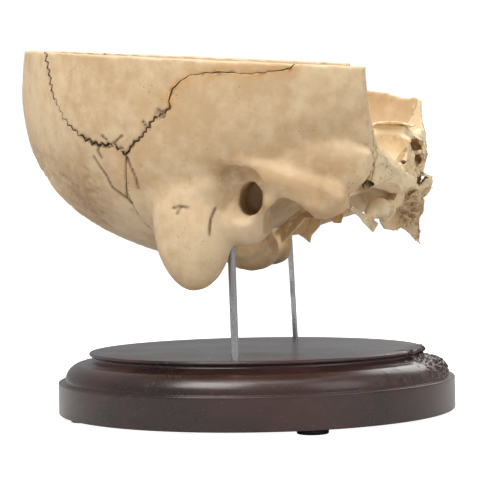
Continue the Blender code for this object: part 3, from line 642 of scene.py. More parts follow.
# The broken front at four heights, as (x, y): under the body, at the step of the left wing, above it
# and at the saw cut.
BREAK_Y = [-90.0, -56.0, -52.0, -47.0, -36.0, -26.0, -15.0, -4.0, 6.0, 16.0, 24.0, 34.0, 44.0, 52.0, 90.0]
BREAK_ROWS = {
    -60.0: [35.5, 35.8, 37.0, 40.5, 42.5, 43.4, 46.0, 47.5, 51.5, 48.0, 42.5, 42.0, 41.5, 41.0, 41.0],
    9.0: [35.5, 35.8, 37.0, 40.5, 42.5, 43.4, 46.0, 47.5, 51.0, 48.0, 42.5, 42.0, 41.5, 41.0, 41.0],
    10.3: [35.2, 35.4, 36.4, 39.5, 42.0, 43.2, 46.0, 47.4, 49.5, 48.5, 47.4, 46.4, 46.0, 45.4, 45.0],
    15.5: [34.0, 34.3, 34.4, 35.0, 38.5, 41.0, 45.0, 46.5, 47.5, 47.0, 46.0, 45.6, 45.5, 45.3, 45.0],
    60.0: [24.6, 24.8, 25.2, 26.5, 31.0, 34.0, 36.0, 36.5, 38.0, 40.0, 39.0, 38.0, 37.5, 37.0, 38.0],
}
BREAK_REACH = 140.0
LEFT_BREAK = [(10.0, 75.0), (10.5, 44.0), (14.0, 39.0), (20.3, 37.8), (27.1, 37.6), (32.5, 36.4), (35.7,
              36.5),
              (37.6, 37.3), (40.6, 35.8), (41.2, 31.5), (42.5, 26.8), (44.8, 21.4), (45.4, 9.8), (70.0,
              8.0),
              (70.0, 75.0)]


def saw_block(above=0.0):
    """Everything above the saw cut, or above a plane parallel to it."""
    turn = saw_slope.to_track_quat("Z", "Y").to_matrix().to_4x4()
    bm = bmesh.new()
    bmesh.ops.create_cube(bm, size=SAW_BLOCK)
    centre = Vector((0.0, 0.0, (SAW_HEIGHT + above) * MM)) + saw_slope * SAW_BLOCK / 2
    bmesh.ops.transform(bm, matrix=Matrix.Translation(centre) @ turn, verts=bm.verts)
    return mesh_object(bm, "saw_block")


def layered(rows, name):
    """A closed solid through rows of points that match one another."""
    bm = bmesh.new()
    rings = [[bm.verts.new(Vector(point) * MM) for point in row] for row in rows]
    bm.faces.new(rings[0])
    bm.faces.new(rings[-1])
    for lower, upper in zip(rings, rings[1:]):
        for i in range(len(lower)):
            j = (i + 1) % len(lower)
            bm.faces.new((lower[i], lower[j], upper[j], upper[i]))
    bmesh.ops.recalc_face_normals(bm, faces=bm.faces)
    return mesh_object(bm, name)


def break_block():
    """Everything in front of the broken edge, which leans forward toward the base."""
    rows = []
    for z, front in BREAK_ROWS.items():
        row = [(x, y, z) for x, y in zip(front, BREAK_Y)]
        rows.append(row + [(BREAK_REACH, BREAK_Y[-1], z), (BREAK_REACH, BREAK_Y[0], z)])
    return layered(rows, "break_block")


def left_break_block():
    """The piece broken out of the left wall in front of the ear, below the saw cut."""
    return layered([[(x, 20.0, z) for x, z in LEFT_BREAK], [(x, 90.0, z) for x, z in LEFT_BREAK]],
        "left_block")


# The occipital bone's masses: the two condyles and the stem of bone in front of the great opening,
# the crosswise ridges inside, and the thick middle of the back.
def occipital_masses():
    pieces = [ball((-79.5, 0.0, -1.0), (5.0, 14.0, 6.0)), ball((-80.0, 0.0, 8.0), (8.0, 12.0, 9.0)),
              block((-50.0, 0.0, -17.0), (16.0, 2.5, 6.0))]
    for s in SIDES.values():
        pieces.append(ball((-5.0, s * 18.5, -23.8), (10.5, 6.2, 6.6), (0.0, 0.0, s * -22.0)))
        pieces.append(ball((0.0, s * 15.5, -22.5), (4.8, 4.6, 6.2)))
        pieces.append(ball((-12.0, s * 24.0, -20.0), (14.0, 9.0, 6.0)))
        pieces += spindle((6.0, s * 6.0, -12.5), 4.6, (26.0, s * 6.0, -0.5), 6.4)
    return pieces


# The temporal bones' masses: the mastoid process behind the ear, the pyramid that runs inward from
# it, the ear's bony tube, the root of the cheek arch and the socket of the jaw in front.
def temporal_masses(s):
    pieces = [
        ball((-18.0, s * 52.0, -14.0), (12.9, 10.4, 22.5), (0.0, -9.0, 0.0)),
        ball((-22.0, s * 50.5, -3.0), (15.0, 10.0, 13.0)),
        ball((-2.0, s * 49.0, -11.5), (8.5, 11.5, 9.0)),
        ball((21.0, s * 53.0, -4.0), (6.5, 11.0, 4.8)),
        ball((18.0, s * 56.5, -1.5), (12.5, 7.0, 6.0), (0.0, 8.0, 0.0)),
        ball((12.0, s * 54.5, 8.0), (22.0, 7.2, 13.0)),
        ball((-10.0, s * 55.0, 8.0), (20.0, 7.2, 12.0)),
        ball((6.0, s * 56.5, -4.5), (2.6, 5.0, 4.2)),
    ]
    pieces += spindle((-14.0, s * 53.0, -2.0), 9.5, (21.0, s * 13.0, 1.0), 5.5)
    pieces += spindle((-2.0, s * 46.0, -13.5), 4.6, (-0.6, s * 44.0, -19.3), 1.6)
    crest = [(-20.0, s * 63.5, 13.0), (-12.0, s * 61.6, 7.0), (4.6, s * 59.5, 3.0), (27.0, s * 60.5, -0.8)]
    widths = [1.6, 3.6, 4.8, 3.4]
    for i in range(3):
        pieces += spindle(crest[i], widths[i], crest[i + 1], widths[i + 1])
    return pieces


# The sphenoid bone's masses: its hollow body in the middle, the saddle's back, and the broken wings
# that reach out to both side walls.
def sphenoid_masses():
    pieces = [
        block((33.0, 2.0, 8.5), (12.0, 12.0, 12.0), (0.0, 0.0, -12.0)),
        ball((42.5, 4.0, 12.0), (5.0, 12.0, 10.5)),
        block((24.0, 0.0, 22.0), (2.2, 8.0, 5.0)),
        block((34.5, 5.0, 23.2), (6.0, 14.0, 1.2)),
        ball((43.0, 34.0, 17.0), (4.5, 22.0, 8.5), (0.0, 0.0, -8.0)),
        ball((35.5, -34.0, 7.0), (4.0, 23.0, 6.5), (-6.0, 0.0, -20.0)),
        hull([(22.0, -58.0, -2.0), (22.0, -51.0, -1.0), (29.0, -57.0, -1.0), (35.8, -55.6, 8.0), (35.2,
              -56.2, 14.0),
              (24.0, -59.8, 14.0), (24.0, -52.0, 16.0), (35.0, -51.0, 14.0), (34.5, -51.0, 5.0)]),
        ball((43.5, 1.0, 0.0), (5.0, 6.0, 5.0)),
    ]
    for s in SIDES.values():
        pieces += spindle((35.0, s * 13.0, 0.0), 5.0, (38.0, s * 14.0, -6.0), 3.0)
    return pieces


# The hollows: the great opening, the saddle, the ear openings, the jaw's sockets, the digastric
# grooves, and the openings for vessels and nerves.
def hollows():
    cutters = [drum((-13.0, 0.0, -24.0), (17.5, 14.5, 16.0)), ball((30.0, 0.0, 25.5), (4.5, 6.5, 4.5)),
               ball((35.0, -13.0, 16.4), (8.0, 5.0, 6.6), (0.0, 14.0, 0.0))]
    for s in SIDES.values():
        cutters.append(drum((0.0, s * 58.0, -5.0), (3.6, 5.2, 14.0), (90.0, 0.0, 0.0)))
        cutters.append(ball((-4.0, s * 63.5, -0.5), (7.5, 4.0, 4.6), (0.0, -12.0, 0.0)))
        cutters.append(ball((-1.5, s * 62.5, -6.5), (6.5, 5.0, 7.5)))
        cutters.append(ball((12.5, s * 54.0, -12.0), (8.0, 12.0, 10.2)))
        cutters.append(ball((-20.0, s * 39.0, -29.0), (16.0, 4.5, 12.0), (0.0, 0.0, s * -12.0)))
        cutters.append(ball((-4.0, s * 28.0, -14.0), (5.5, 4.5, 14.0)))
        cutters.append(ball((24.0, s * 24.0, 2.0), (3.5, 2.5, 16.0)))
    cutters.append(ball((36.8, -33.0, -1.6), (5.6, 16.0, 7.0), (0.0, 0.0, -22.0)))
    return cutters


# Small cells that the break laid open in the hollow body, and the pin hole in the plate between them.
def air_cells():
    return [ball((43.4, -2.0, 18.4), (3.1, 7.0, 2.1), (0.0, 28.0, 0.0)),
            ball((45.4, -2.0, 14.2), (1.2, 5.0, 2.4), (0.0, -14.0, 0.0)),
            ball((41.2, -9.0, 12.1), (0.7, 4.0, 0.6)),
            block((47.0, 4.0, 7.4), (1.1, 14.0, 1.9), (0.0, 38.0, 3.0))]


# The splinters: thin plates and spikes of bone left standing where the face was broken away. They
# are shaped finer than the rest.
def plate(outline, thickness):
    """A thin plate of bone on an outline of points."""
    bm = bmesh.new()
    bm.faces.new([bm.verts.new(Vector(point) * MM) for point in outline])
    made = mesh_object(bm, "plate")
    apply(made, "SOLIDIFY", thickness=thickness * MM, offset=0.0)
    return made


def splinters():
    pieces = [
        plate([(27.6, -57.4, -1.5), (29.6, -57.2, -0.6), (34.2, -52.0, 2.1), (37.4, -46.0, 4.4), (39.6,
               -38.0, 6.4),
               (42.0, -27.0, 7.0), (43.3, -20.0, 6.3), (40.0, -18.0, 9.0), (38.6, -34.0, 9.6), (33.0,
               -51.0, 6.0)], 1.1),
        plate([(34.2, -51.5, 5.0), (34.4, -52.0, 12.0), (33.8, -50.5, 17.0), (35.6, -49.5, 16.0), (37.2,
               -48.0, 13.9),
               (38.4, -46.0, 12.9), (39.9, -42.0, 11.2), (40.4, -37.0, 9.2), (39.2, -38.0, 6.6), (36.5,
               -47.0, 4.0)], 1.2),
        plate([(43.3, -20.5, 6.4), (42.2, -20.5, 3.6), (41.3, -20.0, 0.9), (40.6, -19.5, -2.8), (38.5,
               -18.0, -1.9),
               (37.0, -14.0, -1.5), (36.0, -12.0, 3.0), (38.0, -12.0, 8.0)], 0.9),
        plate([(26.8, -52.0, -3.0), (31.0, -36.0, -7.0), (35.2, -21.0, -12.0), (36.4, -19.0, -8.6), (33.0,
               -27.0, -6.4),
               (28.0, -48.0, -2.4)], 0.9),
        plate([(36.0, -11.5, 7.5), (37.4, -11.5, 11.3), (40.6, -10.5, 18.0), (42.0, -9.0, 17.6), (44.3,
               -7.0, 13.9),
               (45.8, -5.0, 10.4), (46.0, -4.0, 6.5), (38.5, -10.0, 4.0)], 0.9),
        plate([(46.6, 10.0, 6.0), (47.7, 8.0, 9.4), (49.4, 8.0, 9.3), (50.9, 8.0, 4.6), (49.3, 7.0, 1.4),
               (45.5, 6.0, -2.5)], 1.2),
        plate([(38.0, 3.0, -4.0), (38.6, 3.0, -9.3), (41.2, 3.0, -11.6), (42.1, 3.0, -10.2), (44.5, 3.0,
               -11.3),
               (45.8, 4.0, -12.5), (47.2, 4.0, -13.9), (49.6, 5.0, -14.9), (49.2, 4.0, -10.5), (48.4, 4.0,
               -6.4),
               (49.5, 4.0, -3.8), (49.3, 4.0, 1.2), (44.0, 3.0, 2.0)], 1.6),
        plate([(35.4, -8.0, -8.4), (37.3, -7.0, -10.9), (41.0, -6.0, -11.2), (43.4, -4.0, -8.6), (43.0,
               -4.0, -4.0),
               (36.0, -8.0, -3.0)], 1.4),
        plate([(8.5, -16.0, -15.5), (11.9, -15.0, -17.0), (14.4, -15.0, -18.6), (14.8, -15.0, -15.8),
               (17.3, -15.0, -12.3), (14.0, -14.0, -8.0), (8.0, -14.0, -10.0)], 2.0),
        plate([(17.0, -15.0, -11.0), (20.4, -15.0, -9.9), (21.0, -15.0, -10.9), (23.9, -15.0, -10.5),
               (24.3, -15.0, -8.2), (25.6, -15.0, -6.8), (24.0, -13.0, -2.0), (16.0, -13.0, -5.0)], 2.0),
        plate([(29.0, -55.0, -4.4), (26.2, -54.0, -4.8), (22.9, -53.0, -6.7), (19.1, -51.0, -8.9), (17.3,
               -49.0, -8.7),
               (15.6, -45.0, -9.3), (14.5, -43.0, -12.0), (12.0, -41.0, -14.7), (9.6, -39.0, -17.3),
               (8.3, -37.0, -18.8), (6.5, -34.0, -14.0), (12.0, -38.0, -8.0), (18.0, -46.0, -3.0),
               (28.0, -52.0, 0.0)], 0.9),
        plate([(28.4, -9.0, 22.4), (31.0, -11.5, 24.0), (35.0, -11.8, 24.9), (38.0, -11.0, 25.0), (40.6,
               -9.0, 24.4),
               (42.0, 2.0, 24.6), (42.0, 14.0, 25.6), (28.0, 14.0, 22.6)], 0.8),
        ball((36.4, -25.0, -3.6), (4.4, 4.0, 3.6)), ball((39.6, -22.0, -3.4), (2.4, 3.2, 3.2)),
        ball((34.4, -27.0, -5.0), (2.6, 3.0, 2.6)),
    ]
    return melt(pieces + grooved_folds(), SPLINTER_ROUNDING, voxel=SPLINTER_VOXEL)


# The brown folds between the plates: thin leaves of bone that fan out from one root.
FOLDS = 8
FOLD_ROOT = Vector((38.8, -5.5, -2.6))
FOLD_LENGTH = 5.2
FOLD_LOWEST = -34.0
FOLD_SPREAD = 84.0


def grooved_folds():
    folds = []
    for i in range(FOLDS):
        lean = FOLD_LOWEST + FOLD_SPREAD * i / (FOLDS - 1)
        along = Vector((math.cos(math.radians(lean)), 0.0, math.sin(math.radians(lean))))
        middle = FOLD_ROOT + along * FOLD_LENGTH + Vector((0.0, 0.8 * math.sin(2.1 * i), 0.0))
        folds.append(ball(middle, (FOLD_LENGTH, 2.6, 0.42), (14.0 * math.sin(1.3 * i), -lean, 0.0)))
    return folds


# The sutures: the toothed seams along which the bones of the braincase meet. Each is cut as a
# thin ribbon, so that every bone is a piece of its own.
SUTURE_GAP = 0.08
RIBBON_OVERRUN = 0.5
CAVITY_EDGE = 15.0
BEYOND_WALL = 85.0
BELOW_BASE = -50.0
PARIETAL_SUTURE = [(22.0, 52.0), (7.9, 34.7), (-3.9, 31.8), (-11.4, 31.5), (-18.0, 30.4), (-22.0, 29.2),
                   (-26.0, 25.6), (-27.3, 22.0), (-26.6, 19.5), (-28.6, 16.8), (-31.5, 15.2), (-33.5, 11.7),
                   (-36.0, 8.6), (-38.3, 6.4), (-40.0, 3.0)]
LAMBDOID_SUTURE = [(-40.0, 3.0), (-44.6, 5.8), (-50.6, 4.9), (-57.0, 7.0), (-64.0, 11.5), (-70.0, 19.5),
                   (-76.0, 34.0), (-83.0, 52.0)]
MASTOID_SUTURE = [(-40.0, -80.0), (-40.0, -52.5)]
PETROUS_SUTURE = [(-40.0, -53.5), (-34.0, -45.0), (-22.0, -33.0), (-4.0, -28.5), (8.0, -19.0), (20.0,
                  -10.5)]
WING_SUTURE = [(20.0, -10.5), (24.0, -16.0), (21.0, -26.0), (25.0, -38.0), (30.0, -45.0)]
WING_END = [(30.0, -45.0), (33.0, -50.0), (54.0, -51.5)]
CLIVUS_SUTURE = [(20.0, -10.5), (20.0, 10.5)]


def toothed(route, pitch, reach, seed):
    """The route with small irregular teeth, and with its ends where they were."""
    draw = random.Random(seed)
    points = [Vector(route[0])]
    flip = 1.0
    for a, b in zip(route, route[1:]):
        a = Vector(a)
        b = Vector(b)
        count = max(1, round((b - a).length / pitch))
        across = Vector((a.y - b.y, b.x - a.x)).normalized()
        for i in range(1, count + 1):
            at = a.lerp(b, (i - draw.uniform(0.25, 0.55)) / count)
            points.append(at + across * flip * reach * draw.uniform(0.25, 1.0))
            flip = -flip
    points.append(Vector(route[-1]))
    return points


def ribbon(points, axis, low, high):
    """A thin upright wall along a route, in XZ and through Y, or in XY and through Z."""
    points = [Vector(point) for point in points]
    points[0] += (points[0] - points[1]).normalized() * RIBBON_OVERRUN
    points[-1] += (points[-1] - points[-2]).normalized() * RIBBON_OVERRUN
    bm = bmesh.new()
    rows = []
    for a, b in points:
        ends = ((a, low, b), (a, high, b)) if axis == "Y" else ((a, b, low), (a, b, high))
        rows.append([bm.verts.new(Vector(end) * MM) for end in ends])
    for first, second in zip(rows, rows[1:]):
        bm.faces.new((first[0], second[0], second[1], first[1]))
    made = mesh_object(bm, "ribbon")
    apply(made, "SOLIDIFY", thickness=SUTURE_GAP * MM, offset=0.0, use_even_offset=True)
    return made


seam_lines = {
    "squamosal": toothed(PARIETAL_SUTURE[:9], 2.0, 0.25, 11),
    "parietomastoid": toothed(PARIETAL_SUTURE[8:], 1.1, 0.55, 12),
    "lambdoid": toothed(LAMBDOID_SUTURE, 1.3, 0.75, 13),
}
side_seam = seam_lines["squamosal"][:-1] + seam_lines["parietomastoid"]
# How high the seams of the skull's floor are cut.
CLIVUS_TOP = 32.0
MASTOID_SUTURE_TOP = 4.0
PETROUS_TOP = 14.0
WING_TOP = 33.0
WING_END_TOP = 60.0


def suture_ribbons():
    made = [ribbon(toothed(CLIVUS_SUTURE, 1.5, 0.3, 14), "Z", BELOW_BASE, CLIVUS_TOP)]
    for s in SIDES.values():
        near, far = sorted((s * CAVITY_EDGE, s * BEYOND_WALL))
        made.append(ribbon(side_seam, "Y", near, far))
        made.append(ribbon(seam_lines["lambdoid"], "Y", near, far))
        for route, top in ((MASTOID_SUTURE, MASTOID_SUTURE_TOP), (PETROUS_SUTURE, PETROUS_TOP),
                           (WING_SUTURE, WING_TOP), (WING_END, WING_END_TOP)):
            made.append(ribbon([(x, -s * y) for x, y in route], "Z", BELOW_BASE, top))
    return made


# The whole bone is melted together, hollowed, given its splinters, sawn and broken, and then parted
# into its six bones, which stay separate pieces.
def whole_bone():
    bowl = braincase(0.0)
    combine(bowl, braincase(VAULT_WALL))
    combine(bowl, saw_block(SAW_MARGIN))
    pieces = [bowl] + occipital_masses() + sphenoid_masses()
    for s in SIDES.values():
        pieces += temporal_masses(s)
    whole = melt(pieces, MASSES_ROUNDING)
    for cutter in hollows():
        combine(whole, cutter)
    combine(whole, saw_block())
    combine(whole, break_block())
    combine(whole, left_break_block())
    whole = melt([whole], HOLLOWS_ROUNDING)
    for cutter in air_cells():
        combine(whole, cutter)
    combine(whole, splinters(), "UNION")
    return whole


BONE_CENTRES = {
    "occipital_bone": (-55.0, 0.0, -5.0),
    "temporal_bone_right": (-5.0, -48.0, 0.0),
    "temporal_bone_left": (-5.0, 48.0, 0.0),
    "parietal_bone_right": (-40.0, -58.0, 25.0),
    "parietal_bone_left": (-40.0, 58.0, 30.0),
    "sphenoid_bone": (36.0, 5.0, 8.0),
}


def part_bones(whole):
    """Parts the bone along its sutures and names each part by where it lies."""
    for cutter in suture_ribbons():
        combine(whole, cutter)
    bpy.ops.object.select_all(action="DESELECT")
    whole.select_set(True)
    bpy.context.view_layer.objects.active = whole
    bpy.ops.mesh.separate(type="LOOSE")
    parts = sorted(bpy.context.selected_objects, key=lambda part: len(part.data.vertices), reverse=True)
    for scrap in parts[len(BONE_CENTRES):]:
        bpy.data.objects.remove(scrap)
    parts = parts[:len(BONE_CENTRES)]
    named = {}
    for name, centre in BONE_CENTRES.items():
        centre = Vector(centre) * MM
        nearest = min(parts, key=lambda part: (sum((Vector(c) for c in part.bound_box),
            Vector()) / 8 - centre).length)
        parts.remove(nearest)
        named[name] = nearest
    return named


bones = part_bones(whole_bone())

# The surface of the bone: fine pores and ripples all over, rough ridges where the neck muscles held
# at the back, coarse spongy bone on the broken faces, and cracks round the meeting of the seams.
PITCH = math.radians(9.0)
ROLL = math.radians(2.0)
EARS_FROM_BASE_AXIS = Vector((10.9, -5.2, 79.6)) * MM
skull_pose = Matrix.Translation(base_axis + EARS_FROM_BASE_AXIS) @ Matrix.Rotation(PITCH, 4, "Y") \
    @ Matrix.Rotation(ROLL, 4, "X")
# Each crack is its points (x, z) on the right side of the skull.
CRACKS = [
    [(-57.0, 7.4), (-53.5, 5.7), (-50.6, 4.7), (-46.8, 4.7), (-44.6, 6.4), (-41.9, 8.8)],
    [(-50.1, 4.7), (-50.6, 3.1), (-49.2, 1.2)],
    [(-46.5, 4.7), (-47.4, 7.0), (-49.0, 7.8)],
    [(-30.8, 15.9), (-30.6, 18.2), (-28.7, 17.5), (-28.5, 16.0)],
    [(-33.5, 12.5), (-35.0, 14.0)],
    [(-52.1, 1.0), (-47.6, -4.1), (-45.2, -7.9), (-40.0, -10.5), (-38.7, -11.7)],
    [(-10.1, -9.5), (-10.9, -12.9), (-10.9, -15.5), (-10.5, -17.9)],
    [(-22.9, -10.9), (-20.6, -10.1), (-18.1, -10.4)],
    [(-20.8, -10.2), (-21.2, -12.5)],
    [(-42.1, 5.3), (-39.9, 2.4), (-36.8, -3.1), (-35.9, -6.7)],
]
# Each spot is a middle in millimetres, a radius and a strength. Some are brown stains on the bone; the
# others are painted shade: above and behind the ear, in the ear opening, in the jaw's socket, in an opened
# cell and under the wing.
STAINS_AND_PAINTED_SHADE = [
    ((-6.0, -62.0, 2.0), 7.0, 0.8), ((0.0, -54.0, -6.0), 6.0, 1.0), ((12.0, -50.0, -6.0), 9.0, 0.7),
    ((-55.0, -35.0, -14.0), 13.0, 0.8), ((44.0, 0.0, -3.0), 6.5, 1.0), ((38.5, -24.0, -5.0), 4.0, 0.6),
    ((45.5, 15.0, 17.8), 4.5, 0.7), ((23.0, -62.0, 6.0), 9.0, 0.45), ((-80.0, -25.0, 0.0), 10.0, 0.35),
    ((33.0, -40.0, -2.0), 6.0, 0.6), ((-10.0, -50.0, -26.0), 8.0, 0.35), ((5.0, -20.0, -24.0), 8.0, 0.4),
]
ORANGE = [((14.0, -15.0, -15.0), 5.0, 0.7), ((22.0, -15.0, -9.0), 4.0, 0.9), ((-72.0, -48.0, 24.0), 3.5,
          0.5),
          ((-70.0, -50.0, 33.0), 2.5, 0.5), ((-40.0, -58.0, -2.0), 5.0, 0.5), ((39.0, -4.0, -9.5), 4.0,
          0.6)]


def distance_to_line(points, line):
    """How far points of a plane are from a broken line."""
    nearest = np.full(len(points), 1e9)
    for a, b in zip(line, line[1:]):
        a = np.array(a, float)
        step = np.array(b, float) - a
        along = np.clip(((points - a) @ step) / max(step @ step, 1e-12), 0.0, 1.0)
        nearest = np.minimum(nearest, np.linalg.norm(points - a - along[:, None] * step, axis=1))
    return nearest


def ramp(value, low, high):
    return np.clip((value - low) / (high - low), 0.0, 1.0)


def blobs(points, spots):
    total = np.zeros(len(points))
    for centre, radius, strength in spots:
        away = np.linalg.norm(points - np.array(centre), axis=1) / radius
        total = np.maximum(total, strength * np.exp(-away ** 2))
    return total


def surface_marks(item):
    """Writes as attributes where the surface is rough, broken, sawn or cracked, where it has stains, and
    where shade and light are painted.
    """
    mesh = item.data
    count = len(mesh.vertices)
    points = np.empty(count * 3)
    mesh.vertices.foreach_get("co", points)
    points = points.reshape(-1, 3) / MM
    normals = np.empty(count * 3)
    mesh.vertices.foreach_get("normal", normals)
    normals = normals.reshape(-1, 3)
    x, y, z = points.T
    side = points[:, [0, 2]]
    outer = ramp(np.abs(y), 36.0, 42.0)
    right = ramp(-y, 36.0, 42.0)
    squamosal = distance_to_line(side, seam_lines["squamosal"])
    fused = 0.25 + 0.75 * ramp(x, -66.0, -52.0)
    toothy = np.maximum(np.exp(-(distance_to_line(side, seam_lines["parietomastoid"]) / 0.45) ** 2) * 0.9,
                        np.exp(-(distance_to_line(side, seam_lines["lambdoid"]) / 0.45) ** 2) * fused)
    crack = np.zeros(count)
    for line in CRACKS:
        crack = np.maximum(crack, np.exp(-(distance_to_line(side, line) / 0.38) ** 2))
    saw = (SAW_HEIGHT + SAW_RISE_FORWARD * x + SAW_RISE_LEFT * y) - z
    below = ramp(-normals[:, 2], 0.0, 0.5)
    marks = {
        "seam": np.maximum(toothy, np.exp(-(squamosal / 0.4) ** 2) * 0.3) * outer,
        "halo": np.exp(-(squamosal / 2.2) ** 2) * outer,
        "crack": crack * right,
        "sawn": ramp(0.8 - saw, 0.0, 0.5) * ramp(normals[:, 2], 0.6, 0.9),
        "rough": below * ramp(-x, 44.0, 54.0) * ramp(-z, -2.0, 8.0) * ramp(62.0 - np.abs(y), 0.0, 12.0),
        "broken": np.maximum(ramp(x, 38.0, 44.0) * ramp(26.0 - z, 0.0, 6.0),
                             ramp(x, 27.0, 31.0) * ramp(normals[:, 0], 0.55, 0.85)) * ramp(x, 24.0, 28.0),
        # stain: brown stains, together with painted shade in some hollows
        "stain": blobs(points, STAINS_AND_PAINTED_SHADE),
        "orange": blobs(points, ORANGE),
        # painted light: surfaces that face up, below the saw cut, to be made paler as if lit from above
        "painted_upward_light": ramp(normals @ np.array([0.0, 0.0, 1.0]), 0.1, 0.6) * ramp(38.0 - saw, 0.0, 10.0),
    }
    for name, values in marks.items():
        mesh.attributes.new(name, "FLOAT", "POINT").data.foreach_set("value", values.astype(np.float32))


def bone_tree():
    """Moves the surface in and out: swells, pores, muscle ridges, spongy hollows and cracks."""
    tree, given, result = geometry_tree("bone_relief", {
        "Swell": "Float", "Ripple": "Float", "Pore Depth": "Float", "Ridge Depth": "Float",
        "Spongy Depth": "Float", "Crack Depth": "Float", "Seed": "Float", "Material": "Material"})
    here = node(tree, "GeometryNodeInputPosition").outputs[0]
    shift = node(tree, "ShaderNodeCombineXYZ", {"X": given["Seed"]}).outputs[0]
    place = vector_calc(tree, "ADD", here, shift)

    def mark(name):
        return node(tree, "GeometryNodeInputNamedAttribute", {"Name": name}, data_type="FLOAT").outputs[0]

    def depth(amount, value):
        return calc(tree, "MULTIPLY", amount, value)

    swell = depth(given["Swell"], calc(tree, "SUBTRACT", noise(tree, 85.0, 3.0, place), 0.42))
    ripple = depth(given["Ripple"], noise(tree, 420.0, 3.0, place))
    cells = node(tree, "ShaderNodeTexVoronoi", {"Vector": place, "Scale": 300.0}).outputs["Distance"]
    patches = between(tree, noise(tree, 70.0, 2.0, place), 0.46, 0.62)
    pores = depth(given["Pore Depth"], calc(tree, "MULTIPLY", patches, between(tree, cells, 0.17, 0.05)))
    stretched = vector_calc(tree, "MULTIPLY", place, (120.0, 330.0, 260.0))
    furrows = between(tree, noise(tree, 1.0, 4.0, stretched, 0.6), 0.40, 0.62)
    ridges = depth(given["Ridge Depth"], calc(tree, "MULTIPLY", mark("rough"), furrows))
    sponge = node(tree, "ShaderNodeTexVoronoi", {"Vector": place, "Scale": 620.0}).outputs["Distance"]
    jagged = noise(tree, 260.0, 4.0, place, 0.65)
    spongy = depth(given["Spongy Depth"], calc(tree, "MULTIPLY", mark("broken"), calc(
        tree, "ADD", between(tree, sponge, 0.62, 0.15), calc(tree, "MULTIPLY", jagged, 0.9))))
    cracks = depth(given["Crack Depth"], calc(tree, "MAXIMUM", mark("crack"), calc(
        tree, "MULTIPLY", mark("seam"), 0.8)))
    total = calc(tree, "ADD", calc(tree, "ADD", swell, ripple), calc(tree, "ADD", pores, ridges))
    total = calc(tree, "ADD", total, calc(tree, "ADD", spongy, cracks))
    normal = node(tree, "GeometryNodeInputNormal").outputs[0]
    moved = node(tree, "GeometryNodeSetPosition", {"Geometry": given["Geometry"], "Offset": vector_calc(
        tree, "SCALE", normal, Scale=calc(tree, "MULTIPLY", total, -MM))})
    real = node(tree, "GeometryNodeRealizeInstances", {"Geometry": moved.outputs[0]}).outputs[0]
    dressed = node(tree, "GeometryNodeSetMaterial", {"Geometry": real, "Material": given["Material"]})
    tree.links.new(dressed.outputs[0], result["Geometry"])
    return tree


def effect_group(name, inputs, outputs):
    """A shader group that gives out masks and colours, with its input and output nodes."""
    tree = bpy.data.node_groups.new(name, "ShaderNodeTree")
    for label, kind in inputs.items():
        tree.interface.new_socket(label, in_out="INPUT", socket_type="NodeSocket" + kind)
    for label, kind in outputs.items():
        tree.interface.new_socket(label, in_out="OUTPUT", socket_type="NodeSocket" + kind)
    return tree, tree.nodes.new("NodeGroupInput").outputs, tree.nodes.new("NodeGroupOutput").inputs


def bone_tone_group():
    """The mottled ivory and tan of old bone, with brown stains."""
    tree, given, result = effect_group("old_bone_tone", {
        "Place": "Vector", "Ivory": "Color", "Tan": "Color", "Stain": "Color", "Amount": "Float"},
        {"Color": "Color", "Mottle": "Float"})
    broad = noise(tree, 26.0, 4.0, given["Place"], 0.55)
    fine = noise(tree, 210.0, 5.0, given["Place"], 0.65)
    mottle = calc(tree, "ADD", calc(tree, "MULTIPLY", broad, 0.65), calc(tree, "MULTIPLY", fine, 0.35))
    colour = colour_mix(tree, between(tree, mottle, 0.38, 0.62), given["Tan"], given["Ivory"])
    blotches = calc(tree, "MULTIPLY", between(tree, noise(tree, 95.0, 5.0, given["Place"], 0.7), 0.57,
        0.76),
                    given["Amount"])
    colour = colour_mix(tree, blotches, colour, given["Stain"])
    tree.links.new(colour, result["Color"])
    tree.links.new(mottle, result["Mottle"])
    return tree


def pore_group():
    """Scattered pin holes, as a mask that is 1 in a hole."""
    tree, given, result = effect_group("bone_pores", {"Place": "Vector", "Scale": "Float",
        "Spread": "Float"},
                                       {"Holes": "Float"})
    cells = node(tree, "ShaderNodeTexVoronoi", {"Vector": given["Place"], "Scale": given["Scale"]})
    open_cells = between(tree, cells.outputs["Distance"], 0.16, 0.06)
    patches = between(tree, noise(tree, 60.0, 3.0, given["Place"]), calc(tree, "SUBTRACT", 0.66,
        given["Spread"]), 0.70)
    tree.links.new(calc(tree, "MULTIPLY", open_cells, patches), result["Holes"])
    return tree


bone_tone = bone_tone_group()
bone_pores = pore_group()
IVORY = (0.72, 0.55, 0.35, 1.0)
TAN = (0.56, 0.38, 0.205, 1.0)
# Brown for the stains, and also for the painted shade in creases and hollows.
BROWN_STAIN_AND_SHADE = (0.30, 0.165, 0.075, 1.0)
DARK_STAIN = (0.12, 0.065, 0.032, 1.0)
ORANGE_STAIN = (0.60, 0.31, 0.10, 1.0)
# Cream: the broken bone's own colour, and the colour of painted highlights and painted light.
CREAM_AND_PAINTED_LIGHT = (0.86, 0.70, 0.45, 1.0)


